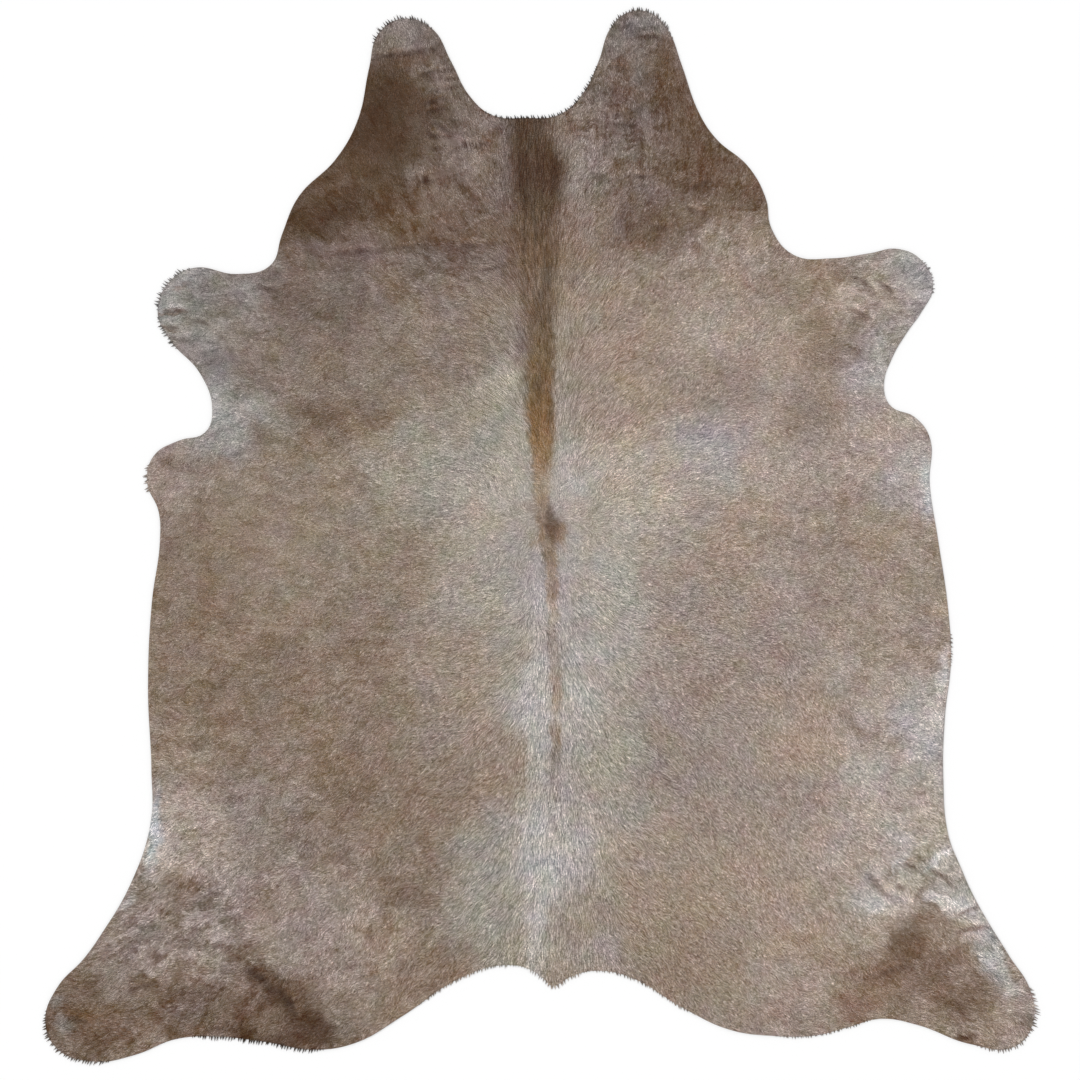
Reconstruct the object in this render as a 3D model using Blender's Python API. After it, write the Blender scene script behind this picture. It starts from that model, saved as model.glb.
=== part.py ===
"""Cowhide rug: one whole tanned hide with its hair on, lying flat with the hair up.

Metres, +Z up. The rug lies on z = 0 with the middle of its extent over the origin.
+Y runs from the tail to the neck, and +X is the right-hand side seen from above.
One solid holds the leather and the coat that lies on it.
"""
import bpy
import bmesh
import numpy as np
from mathutils import Vector
from mathutils.geometry import delaunay_2d_cdt

MM = 0.001

# ---- driving dimensions ---------------------------------------------------------------
RIM_HEIGHT = 3.6 * MM        # leather and pressed hair at the trimmed edge
BODY_HEIGHT = 5.6 * MM       # leather and lying coat over the back and flanks
SPINE_RISE = 1.4 * MM        # thicker skin and longer hair along the backbone
SPINE_HALF_WIDTH = 75 * MM
SPINE_HALF_LENGTH = 0.80     # the rise fades out towards the neck and the tail
WAVE_HEIGHT = 0.35 * MM      # the hide never lies quite even
WAVE_LENGTHS = (0.46, 0.31)  # along X and along Y
SHOULDER = 12 * MM           # the coat rounds over within this distance of the edge

# ---- mesh spacing ---------------------------------------------------------------------
RIM_SPACING = 15 * MM
TOP_SPACING = 42 * MM
UNDERSIDE_SPACING = 160 * MM
CREASE_SPACING = 24 * MM
CREASE_EDGE = 1.8            # half widths from a crease's middle to level ground
CLEAR_SHARE = 0.5            # of a spacing, kept free beside points that are already set
CURVE_STEPS = 16
MERGE_DISTANCE = 0.01 * MM
RING_SLACK = 1 * MM          # how much nearer to the edge a ring point may come at a bend
SHARP_ANGLE = np.radians(40)
TRIANGLES_INSIDE = 1         # the triangulation's own code for what it returns

COAT_COLOUR = (0.30, 0.235, 0.185, 1.0)
COAT_ROUGHNESS = 0.7

# The trimmed outline, clockwise from the neck: each region has its (x, y) turning points
# in millimetres, which one smooth closed curve runs through.
OUTLINE = {
    "neck notch": ((-99, 884), (-30, 878), (42, 885)),
    "right neck flap": ((92, 930), (124, 995), (152, 1070), (190, 1101), (235, 1098),
                        (272, 1060), (298, 993), (338, 884)),
    "right shoulder": ((372, 834), (440, 775), (477, 706), (487, 648)),
    "right fore shank": ((535, 590), (615, 583), (697, 594), (752, 603), (804, 578),
                         (827, 522), (804, 472), (771, 425), (742, 375)),
    "right armpit": ((724, 315), (738, 273), (788, 250)),
    "right flank": ((820, 208), (820, 110), (838, -8), (859, -153), (865, -260),
                    (852, -384), (849, -510), (860, -630)),
    "right hind shank": ((885, -695), (917, -765), (987, -882), (1032, -955), (1038, -1022),
                         (1000, -1073), (905, -1068), (798, -1029), (718, -1015), (645, -1034)),
    "right rump": ((580, -1050), (490, -1051), (400, -1038), (300, -991), (197, -930),
                   (125, -914), (72, -924)),
    "tail point": ((29, -950),),
    "left rump": ((-14, -914), (-69, -902), (-165, -929), (-290, -1011), (-387, -1066),
                  (-475, -1080)),
    "left hind shank": ((-580, -1063), (-690, -1052), (-765, -1058), (-850, -1091), (-935, -1105),
                        (-1012, -1079), (-1038, -1020), (-1012, -948), (-958, -890), (-924, -843),
                        (-857, -728)),
    "left flank": ((-816, -600), (-815, -490), (-822, -320), (-814, -140), (-797, -10),
                   (-800, 52)),
    "left belly lobe": ((-824, 112), (-810, 168), (-757, 200)),
    "left armpit": ((-702, 217), (-687, 265), (-712, 340)),
    "left fore shank": ((-777, 413), (-802, 472), (-775, 536), (-725, 563), (-635, 550)),
    "left shoulder": ((-565, 568), (-541, 632), (-506, 712), (-427, 792), (-382, 872)),
    "left neck flap": ((-357, 985), (-338, 1055), (-290, 1086), (-228, 1068), (-185, 996),
                       (-147, 925)),
}
SHARP_REGIONS = ("tail point",)

# The main creases that the skin keeps from the animal's folds, as soft troughs. Ends are in
# metres; the bow is how far the middle stands off the straight line, to its left.
CREASE_COLUMNS = ("x0", "y0", "x1", "y1", "bow", "half_width", "depth")
CREASES = {
    "left shoulder fold": (-0.530, 0.610, -0.240, 0.640, -0.015, 0.012, 0.0012),
    "left neck upper fold": (-0.325, 0.990, -0.195, 1.012, -0.006, 0.009, 0.0009),
    "left neck middle fold": (-0.270, 0.942, -0.165, 0.950, 0.004, 0.008, 0.0009),
    "left neck lower fold": (-0.290, 0.868, -0.170, 0.892, -0.006, 0.009, 0.0009),
    "left throat fold": (-0.250, 0.815, -0.110, 0.826, 0.008, 0.009, 0.0010),
    "left nape fold": (-0.270, 0.752, -0.155, 0.780, -0.006, 0.009, 0.0009),
    "right neck fold": (0.170, 1.030, 0.245, 1.036, 0.004, 0.009, 0.0008),
    "right throat fold": (0.110, 0.855, 0.230, 0.862, -0.006, 0.010, 0.0008),
    "right fore shank inner fold": (0.680, 0.545, 0.735, 0.480, 0.010, 0.009, 0.0009),
    "right fore shank outer fold": (0.725, 0.560, 0.790, 0.500, 0.010, 0.009, 0.0009),
    "right stifle upper fold": (0.790, -0.735, 0.930, -0.790, -0.012, 0.010, 0.0011),
    "right stifle lower fold": (0.770, -0.815, 0.950, -0.830, -0.010, 0.011, 0.0011),
    "right hock fold": (0.800, -0.975, 1.000, -0.990, 0.018, 0.010, 0.0009),
    "left hock fold": (-0.960, -0.985, -0.800, -0.960, 0.012, 0.010, 0.0009),
}


def new_collection(name):
    """A collection linked into the scene."""
    collection = bpy.data.collections.new(name)
    bpy.context.scene.collection.children.link(collection)
    return collection


def outline_curve():
    """A closed 2D Bezier curve with automatic handles through the outline's turning points."""
    points = [place for places in OUTLINE.values() for place in places]
    sharp = [region in SHARP_REGIONS for region, places in OUTLINE.items() for _ in places]
    curve = bpy.data.curves.new("outline", "CURVE")
    curve.dimensions = "2D"
    curve.resolution_u = CURVE_STEPS
    spline = curve.splines.new("BEZIER")
    spline.bezier_points.add(len(points) - 1)
    spline.use_cyclic_u = True
    for knot, (x, y), is_sharp in zip(spline.bezier_points, points, sharp):
        knot.co = (x * MM, y * MM, 0.0)
        handle = "VECTOR" if is_sharp else "AUTO"
        knot.handle_left_type = handle
        knot.handle_right_type = handle
    return bpy.data.objects.new("outline", curve)


def even_loop(curve_object, spacing):
    """The curve as a loop of evenly spaced points, counter-clockwise and centred on the origin."""
    bpy.context.scene.collection.objects.link(curve_object)
    depsgraph = bpy.context.evaluated_depsgraph_get()
    mesh = bpy.data.meshes.new_from_object(curve_object.evaluated_get(depsgraph))
    knots = np.array([vertex.co.xy for vertex in mesh.vertices])
    bpy.data.objects.remove(curve_object)
    closed = np.vstack([knots, knots[:1]])
    along = np.concatenate([[0.0], np.cumsum(np.linalg.norm(np.diff(closed, axis=0), axis=1))])
    count = round(along[-1] / spacing)
    stations = np.arange(count) * along[-1] / count
    loop = np.column_stack([np.interp(stations, along, closed[:, axis]) for axis in (0, 1)])
    loop -= (loop.min(axis=0) + loop.max(axis=0)) / 2
    ahead = np.roll(loop, -1, axis=0)
    swept = (loop[:, 0] * ahead[:, 1] - loop[:, 1] * ahead[:, 0]).sum()
    return loop if swept > 0 else loop[::-1]


def distance_to_loop(points, loop):
    """Each point's shortest distance to the loop's straight pieces."""
    start = loop[None, :, :]
    step = np.roll(loop, -1, axis=0)[None, :, :] - start
    offset = points[:, None, :] - start
    share = np.clip((offset * step).sum(axis=2) / (step * step).sum(axis=2), 0.0, 1.0)
    return np.linalg.norm(offset - share[:, :, None] * step, axis=2).min(axis=1)


def inside_loop(points, loop):
    """True where a ray along +X from the point crosses the loop an odd number of times."""
    x, y = points[:, 0, None], points[:, 1, None]
    x0, y0 = loop[None, :, 0], loop[None, :, 1]
    x1, y1 = np.roll(x0, -1, axis=1), np.roll(y0, -1, axis=1)
    spans = (y0 > y) != (y1 > y)
    rise = np.where(y1 == y0, 1.0, y1 - y0)
    crossing = x0 + (y - y0) * (x1 - x0) / rise
    return (spans & (x < crossing)).sum(axis=1) % 2 == 1


def crease_frame(row):
    """A crease's start, its length, and the directions along and across its straight line."""
    start = np.array((row["x0"], row["y0"]))
    chord = np.array((row["x1"], row["y1"])) - start
    length = np.linalg.norm(chord)
    along = chord / length
    return start, length, along, np.array((-along[1], along[0]))


def arch(share):
    """Nothing at both ends and one in the middle."""
    return 4.0 * share * (1.0 - share)


def crease_depth(points):
    """How far the creases sink the surface: a bell across each line that fades at its ends."""
    sunk = np.zeros(len(points))
    for crease in CREASES.values():
        row = dict(zip(CREASE_COLUMNS, crease))
        start, length, along, across = crease_frame(row)
        fade = arch(np.clip((points - start) @ along / length, 0.0, 1.0))
        aside = (points - start) @ across - row["bow"] * fade
        sunk += row["depth"] * np.sqrt(fade) * np.exp(-((aside / row["half_width"]) ** 2))
    return sunk


def top_height(points, loop):
    """Height of the lying coat: even over the body, higher on the spine, lower at the rim."""
    x, y = points.T
    rim_share = np.clip(distance_to_loop(points, loop) / SHOULDER, 0.0, 1.0)
    height = RIM_HEIGHT + (BODY_HEIGHT - RIM_HEIGHT) * np.sin(rim_share * np.pi / 2)
    length_fade = np.exp(-((y / SPINE_HALF_LENGTH) ** 4))
    height += SPINE_RISE * np.exp(-((x / SPINE_HALF_WIDTH) ** 2)) * length_fade * rim_share
    wave = np.sin(2 * np.pi * x / WAVE_LENGTHS[0]) * np.sin(2 * np.pi * y / WAVE_LENGTHS[1])
    height += WAVE_HEIGHT * wave * rim_share
    return height - crease_depth(points) * rim_share


def lattice(loop, spacing, clearance):
    """A lattice of equilateral triangles inside the loop, clear of its edge."""
    low, high = loop.min(axis=0), loop.max(axis=0)
    rows = np.arange(low[1], high[1], spacing * np.sqrt(3) / 2)
    columns = np.arange(low[0], high[0], spacing)
    x, y = np.meshgrid(columns, rows)
    x[1::2] += spacing / 2
    points = np.column_stack([x.ravel(), y.ravel()])
    points = points[inside_loop(points, loop)]
    return points[distance_to_loop(points, loop) > clearance]


def shoulder_ring(loop):
    """Points a shoulder's width inside the edge, where the coat reaches its full height."""
    ahead, behind = np.roll(loop, -1, axis=0), np.roll(loop, 1, axis=0)
    along = ahead - behind
    inward = np.column_stack([-along[:, 1], along[:, 0]]) / np.linalg.norm(along, axis=1)[:, None]
    ring = loop + inward * SHOULDER
    return ring[distance_to_loop(ring, loop) > SHOULDER - RING_SLACK]


def crease_points():
    """Three rows of points for each crease: its bottom and its two edges."""
    rows = []
    for crease in CREASES.values():
        row = dict(zip(CREASE_COLUMNS, crease))
        start, length, along, across = crease_frame(row)
        share = np.linspace(0.0, 1.0, round(length / CREASE_SPACING) + 1)[:, None]
        line = start + share * length * along + arch(share) * row["bow"] * across
        edge = CREASE_EDGE * row["half_width"] * across
        rows.extend((line - edge, line, line + edge))
    return np.vstack(rows)


def clear_of(points, others, gap):
    """The points that keep at least the gap to every one of the others."""
    nearest = np.linalg.norm(points[:, None, :] - others[None, :, :], axis=2).min(axis=1)
    return points[nearest > gap]


def filled_loop(loop, inner):
    """The loop filled with triangles whose corners are its points and the inner points."""
    flat = [Vector(point) for point in np.vstack([loop, inner])]
    edges = [(i, (i + 1) % len(loop)) for i in range(len(loop))]
    places, _, faces, *_ = delaunay_2d_cdt(flat, edges, [], TRIANGLES_INSIDE, MERGE_DISTANCE)
    return np.array([place[:] for place in places]), [list(face) for face in faces]


def hide_mesh(loop):
    """A closed solid: a flat underside, a wall round the trimmed edge and the coat's surface."""
    ring = shoulder_ring(loop)
    folds = crease_points()
    folds = clear_of(folds[inside_loop(folds, loop)], np.vstack([loop, ring]), SHOULDER)
    inner = lattice(loop, TOP_SPACING, SHOULDER + CLEAR_SHARE * TOP_SPACING)
    inner = clear_of(inner, folds, CLEAR_SHARE * TOP_SPACING)
    top, top_faces = filled_loop(loop, np.vstack([ring, folds, inner]))
    rest = lattice(loop, UNDERSIDE_SPACING, CLEAR_SHARE * UNDERSIDE_SPACING)
    base, base_faces = filled_loop(loop, rest)

    mesh = bmesh.new()
    top_verts = [mesh.verts.new((x, y, z)) for (x, y), z in zip(top, top_height(top, loop))]
    base_verts = [mesh.verts.new((x, y, 0.0)) for x, y in base]
    for face in top_faces:
        mesh.faces.new([top_verts[corner] for corner in face])
    for face in base_faces:
        mesh.faces.new([base_verts[corner] for corner in reversed(face)])
    for corner in range(len(loop)):
        after = (corner + 1) % len(loop)
        mesh.faces.new((base_verts[corner], base_verts[after], top_verts[after], top_verts[corner]))
    bmesh.ops.recalc_face_normals(mesh, faces=mesh.faces)
    data = bpy.data.meshes.new("hide")
    mesh.to_mesh(data)
    mesh.free()
    return data


def coat_material():
    """Greige hair, matt."""
    material = bpy.data.materials.new("coat")
    material.use_nodes = True
    shader = material.node_tree.nodes["Principled BSDF"]
    shader.inputs["Base Color"].default_value = COAT_COLOUR
    shader.inputs["Roughness"].default_value = COAT_ROUGHNESS
    shader.inputs["Metallic"].default_value = 0.0
    return material


def build():
    for leftover in list(bpy.data.objects):
        bpy.data.objects.remove(leftover)
    rug = new_collection("cowhide_rug")
    mesh = hide_mesh(even_loop(outline_curve(), RIM_SPACING))
    mesh.materials.append(coat_material())
    mesh.shade_smooth()
    mesh.set_sharp_from_angle(angle=SHARP_ANGLE)
    rug.objects.link(bpy.data.objects.new("hide", mesh))


build()
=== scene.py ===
import bpy
import numpy as np
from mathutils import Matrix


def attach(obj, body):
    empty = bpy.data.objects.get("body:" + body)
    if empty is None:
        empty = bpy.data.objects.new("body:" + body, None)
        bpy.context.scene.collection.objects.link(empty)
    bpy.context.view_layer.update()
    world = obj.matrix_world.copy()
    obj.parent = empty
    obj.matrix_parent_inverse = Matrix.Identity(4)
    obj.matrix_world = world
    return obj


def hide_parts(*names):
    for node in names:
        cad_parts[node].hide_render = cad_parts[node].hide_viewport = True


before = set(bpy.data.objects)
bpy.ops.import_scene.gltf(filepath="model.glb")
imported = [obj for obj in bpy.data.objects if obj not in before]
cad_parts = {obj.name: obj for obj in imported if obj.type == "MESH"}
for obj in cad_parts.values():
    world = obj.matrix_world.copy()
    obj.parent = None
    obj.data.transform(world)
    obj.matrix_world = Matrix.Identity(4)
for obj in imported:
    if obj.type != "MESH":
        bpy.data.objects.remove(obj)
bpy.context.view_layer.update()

# ==========================================================================================
# THE SKIN
# One cow's hide, tanned with its hair on, shaved to an even leather on the flesh side and
# trimmed with a knife round its outline. It lies flat by its own weight, and nothing is
# sewn to it: the flesh side is bare suede, and the cut edge shows the leather's core.
# ==========================================================================================
MM = 0.001
LEATHER = 2.5 * MM
SPINE_RISE, SPINE_HALF_WIDTH, SPINE_HALF_LENGTH = 1.4 * MM, 75 * MM, 0.80
WAVE_RISE, WAVE_ACROSS, WAVE_ALONG = 0.35 * MM, 0.46, 0.31
SHOULDER = 12 * MM                # how far in from the rim the waves and folds fade out

# The skin's mesh: points on rings about a hub, at shares of the way from it to the knife's
# line. The rings go out over the hair side, down the cut edge, whose rows hold an inset and
# a height, and back on the flesh side.
HUB = np.array((0.11, -0.19))     # every point of the knife's line is seen from here
EDGE_COLUMNS = 800
TOP_ROWS = np.concatenate([np.linspace(0.0, 0.98, 42)[1:], (0.987, 0.994)])
FLESH_ROWS = np.array((0.994, 0.97, 0.9, 0.75, 0.5, 0.25))
EDGE_PROFILE = np.array(((0.6, 2.5), (0.1, 2.1), (0.0, 1.2), (0.15, 0.4), (0.5, 0.0))) * MM
ON_FLOOR, OFF_FLOOR = 0.01 * MM, 1 * MM       # below the one and above the other

# The folds that the skin keeps from the animal: from (x, y) to (x, y), the bow of the
# middle to the line's left, half the width and the depth, in millimetres.
FOLDS = {
    "left shoulder fold": (-530, 610, -240, 640, -15, 12, 1.2),
    "left neck upper fold": (-325, 990, -195, 1012, -6, 9, 0.9),
    "left neck middle fold": (-270, 942, -165, 950, 4, 8, 0.9),
    "left neck lower fold": (-290, 868, -170, 892, -6, 9, 0.9),
    "left throat fold": (-250, 815, -110, 826, 8, 9, 1.0),
    "left nape fold": (-270, 752, -155, 780, -6, 9, 0.9),
    "right neck fold": (170, 1030, 245, 1036, 4, 9, 0.8),
    "right throat fold": (110, 855, 230, 862, -6, 10, 0.8),
    "right fore shank inner fold": (680, 545, 735, 480, 10, 9, 0.9),
    "right fore shank outer fold": (725, 560, 790, 500, 10, 9, 0.9),
    "right stifle upper fold": (790, -735, 930, -790, -12, 10, 1.1),
    "right stifle lower fold": (770, -815, 950, -830, -10, 11, 1.1),
    "right hock fold": (800, -975, 1000, -990, 18, 10, 0.9),
    "left hock fold": (-960, -985, -800, -960, 12, 10, 0.9),
}

# Fine wrinkles across the neck and the shanks, in the same columns. They sink the surface a little,
# and the coat's colour takes painted shade in them and a painted highlight beside them.
WRINKLES = {
    "left flap": (
        (-353, 1006, -207, 1027, -4, 3.5, 0.7), (-326, 966, -262, 984, 3, 3, 0.3),
        (-262, 965, -182, 979, 2, 3, 0.5), (-202, 958, -168, 961, 0, 3, 0.8),
        (-231, 937, -164, 948, -3, 3, 0.6), (-248, 905, -194, 918, 2, 3, 0.6),
        (-242, 886, -186, 898, 3, 3, 0.6), (-228, 870, -186, 842, 2, 3, 0.5)),
    "left neck": (
        (-238, 848, -188, 831, -2, 3.5, 0.9), (-194, 827, -104, 823, -3, 3.5, 0.9),
        (-242, 817, -204, 814, -2, 4, 0.5), (-200, 793, -175, 812, 1, 3, 0.5),
        (-264, 750, -186, 767, -4, 4, 0.9), (-262, 737, -218, 745, 2, 3.5, 0.6),
        (-252, 660, -168, 638, 3, 4, 0.3), (-430, 590, -330, 602, 2, 3.5, 0.7),
        (-320, 603, -235, 610, 0, 3, 0.5), (-168, 608, -138, 610, 0, 4.5, 0.8),
        (-178, 605, -63, 616, -2, 4, 0.3), (-147, 552, -52, 577, -4, 3, 0.5)),
    "right neck": (
        (200, 1049, 262, 1044, 1, 3.5, 0.9), (140, 985, 190, 975, 3, 3, 0.5),
        (126, 888, 182, 884, -2, 4, 0.6), (60, 870, 125, 871, 0, 2.5, 0.4),
        (126, 861, 205, 860, 3, 3, 0.5), (182, 760, 240, 754, -2, 3, 0.8),
        (140, 743, 172, 749, 2, 3.5, 0.7), (315, 725, 359, 746, 3, 3, 0.6),
        (305, 690, 352, 676, -3, 4, 0.6), (228, 650, 275, 640, 2, 4, 0.5)),
    "left fore shank": (
        (-795, 473, -733, 474, 1, 3, 0.8), (-792, 438, -758, 436, 1, 3, 0.6),
        (-752, 528, -733, 532, 1, 3, 0.6), (-728, 452, -690, 440, 3, 3, 0.5),
        (-600, 520, -545, 512, 3, 4, 0.5)),
    "right fore shank": (
        (655, 548, 705, 500, 6, 4, 0.7), (700, 540, 742, 505, 5, 3, 0.6),
        (640, 480, 690, 450, 5, 4, 0.5), (745, 470, 790, 452, 3, 3, 0.4)),
    "right hock": (
        (868, -836, 945, -820, 3, 3.5, 0.8), (868, -800, 925, -778, 2, 3, 0.7),
        (788, -780, 808, -738, 7, 4, 0.5), (745, -735, 768, -742, 2, 4, 0.7),
        (765, -690, 792, -700, 2, 4, 0.7), (815, -700, 865, -735, 6, 4, 0.6),
        (690, -700, 740, -760, -8, 5, 0.5), (690, -930, 780, -905, 4, 4, 0.4)),
    "left hock": (
        (-625, -905, -555, -960, 6, 5, 0.7), (-555, -950, -510, -1010, 5, 5, 0.7),
        (-870, -960, -800, -940, 4, 4, 0.5), (-1000, -1010, -940, -1030, 3, 4, 0.4)),
}
WRINKLE_ROWS = [row for rows in WRINKLES.values() for row in rows]
FOLD_ROWS = [*FOLDS.values(), *WRINKLE_ROWS]
FOLD_REACH = 50 * MM              # further than its length, a fold is no longer felt


def knife_points(node):
    """The trimmed line: the floor corners of the solid's wall triangles, which are the ones
    with corners both on the floor and above it. They are rounded to a micrometre, so that a
    shared corner counts once, and put in order of their bearing from the hub."""
    mesh = node.data
    places = np.empty(3 * len(mesh.vertices))
    mesh.vertices.foreach_get("co", places)
    corners = np.empty(len(mesh.loops), dtype=int)
    mesh.loops.foreach_get("vertex_index", corners)
    triangles = places.reshape(-1, 3)[corners].reshape(-1, 3, 3)
    low = triangles[:, :, 2] < ON_FLOOR
    wall = low.any(axis=1) & (triangles[:, :, 2] > OFF_FLOOR).any(axis=1)
    points = np.unique(triangles[wall][low[wall]][:, :2].round(6), axis=0)
    bearing = np.arctan2(points[:, 1] - HUB[1], points[:, 0] - HUB[0])
    return points[np.argsort(bearing)]


def unit(vectors):
    """Each row of the array over its own length."""
    return vectors / np.linalg.norm(vectors, axis=1)[:, None]


def closed_curve(points, share):
    """The Catmull-Rom curve through a ring of points, read at shares 0 to 1 of the way round:
    between points b and c it is b + (c-a)t/2 + (2a-5b+4c-d)t^2/2 + (3b-a-3c+d)t^3/2."""
    station = (share % 1.0) * len(points)
    b = station.astype(int) % len(points)
    t = (station - np.floor(station))[:, None]
    before, here, after, beyond = (points[(b + step) % len(points)] for step in (-1, 0, 1, 2))
    bend = 2 * before - 5 * here + 4 * after - beyond
    turn = 3 * here - before - 3 * after + beyond
    return here + 0.5 * t * (after - before + t * (bend + t * turn))


def smooth(share):
    """0 below 0, 1 above 1, and 3s^2 - 2s^3 between them."""
    s = np.clip(share, 0.0, 1.0)
    return s * s * (3.0 - 2.0 * s)


KNIFE_LINE = knife_points(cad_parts["hide"])
KNIFE_STEPS = np.roll(KNIFE_LINE, -1, axis=0) - KNIFE_LINE

# The chart: a flat lattice over the whole rug on which slow-changing things are worked out.
CHART_STEP, CHART_HALF_WIDTH, CHART_HALF_LENGTH = 8 * MM, 1.12, 1.18
CHART_X = np.arange(-CHART_HALF_WIDTH, CHART_HALF_WIDTH, CHART_STEP)
CHART_Y = np.arange(-CHART_HALF_LENGTH, CHART_HALF_LENGTH, CHART_STEP)
CHART = np.stack(np.meshgrid(CHART_X, CHART_Y, indexing="ij"), axis=-1)
CHART_MARGIN = 1.001              # steps kept back from its end, so that a next point is there


def read_chart(values, x, y):
    """A charted value at any point, joined in straight lines both ways between the lattice's
    own points."""
    across = np.clip((x - CHART_X[0]) / CHART_STEP, 0, len(CHART_X) - CHART_MARGIN)
    along = np.clip((y - CHART_Y[0]) / CHART_STEP, 0, len(CHART_Y) - CHART_MARGIN)
    i, j = across.astype(int), along.astype(int)
    s, t = across - i, along - j
    if values.ndim > 2:
        s, t = s[..., None], t[..., None]
    near = values[i, j] * (1 - s) + values[i + 1, j] * s
    far = values[i, j + 1] * (1 - s) + values[i + 1, j + 1] * s
    return near * (1 - t) + far * t


def rim_distances():
    """At each point of the chart, the shortest distance to the knife's line, less than 0
    outside it. A point is outside if it lies further from the hub than the line does."""
    nearest = np.full(CHART.shape[:2], np.inf)
    for start, step in zip(KNIFE_LINE, KNIFE_STEPS):
        offset = CHART - start
        share = np.clip(offset @ step / (step @ step), 0.0, 1.0)
        gap = offset - share[..., None] * step
        nearest = np.minimum(nearest, (gap * gap).sum(axis=-1))
    spoke = KNIFE_LINE - HUB
    line_bearing = np.arctan2(spoke[:, 1], spoke[:, 0])
    offset = CHART - HUB
    bearing = np.arctan2(offset[..., 1], offset[..., 0])
    reach = np.interp(bearing, line_bearing, np.linalg.norm(spoke, axis=1), period=2 * np.pi)
    outside = np.linalg.norm(offset, axis=-1) > reach
    return np.sqrt(nearest) * np.where(outside, -1.0, 1.0)


RIM_CHART = rim_distances()


def fold_depth(rows, x, y, shift=0.0, wider=1.0):
    """How far these folds sink the surface: a bell across each line that fades at its ends.
    Wider stretches their widths, and a shift reads them so many of those half widths to
    their left."""
    sunk = np.zeros_like(x)
    for x0, y0, x1, y1, bow, half_width, depth in rows:
        chord = np.array((x1 - x0, y1 - y0)) * MM
        length = np.hypot(*chord)
        dx, dy = x - x0 * MM, y - y0 * MM
        near = np.flatnonzero(np.abs(dx - chord[0] / 2) + np.abs(dy - chord[1] / 2)
                              < length + FOLD_REACH)
        dx, dy = dx[near], dy[near]
        along = np.clip((dx * chord[0] + dy * chord[1]) / length**2, 0, 1)
        fade = 4 * along * (1 - along)
        aside = (dy * chord[0] - dx * chord[1]) / length - bow * MM * fade
        bell = np.exp(-((aside / (wider * half_width * MM) - shift) ** 2))
        sunk[near] += depth * MM * np.sqrt(fade) * bell
    return sunk


def hair_side(x, y):
    """Height of the leather's hair side: its thickness, the rise along the backbone and the
    slow waves that a hide keeps, less the folds, all but the first fading out at the rim."""
    share = smooth(read_chart(RIM_CHART, x, y) / SHOULDER)
    spine = SPINE_RISE * np.exp(-((x / SPINE_HALF_WIDTH) ** 2) - (y / SPINE_HALF_LENGTH) ** 4)
    wave = np.sin(2 * np.pi * x / WAVE_ACROSS) * np.sin(2 * np.pi * y / WAVE_ALONG)
    return LEATHER + share * (spine + WAVE_RISE * wave - fold_depth(FOLD_ROWS, x, y))


# The coat's colours. First the tones, as they show in daylight. They were not judged by eye:
# they were mixed from mean colours that a program measured at spots of the photo, and then
# adjusted by comparing parts of the two. The hair itself is lighter than they are, by a gain
# in red, green and blue, because the locks that lie over one another also shade one another.
TONES = {
    "peat": (77, 57, 42), "umber": (87, 68, 52), "chestnut": (102, 82, 66),
    "bark": (105, 85, 66), "walnut": (114, 95, 80), "olive": (113, 91, 66),
    "bronze": (121, 94, 64), "toffee": (133, 107, 79), "rust": (132, 106, 92),
    "mouse": (115, 99, 91), "slate": (126, 113, 104), "russet": (135, 112, 99),
    "dun": (136, 118, 103), "buff": (145, 129, 114), "sand": (152, 136, 121),
    "shell": (167, 152, 141), "frost": (188, 186, 182),
    "fawn": (136, 120, 107), "pewter": (139, 130, 124), "taupe": (144, 130, 120),
    "drab": (152, 137, 127), "tan": (159, 142, 128), "straw": (170, 148, 124),
    "oat": (157, 148, 136), "dove": (157, 151, 146), "linen": (165, 156, 146),
    "ash": (167, 157, 152), "cream": (174, 161, 148), "silver": (179, 171, 165),
    "chalk": (192, 183, 177),
}
TONE_GAIN = np.array((1.53, 1.58, 1.645))

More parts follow.
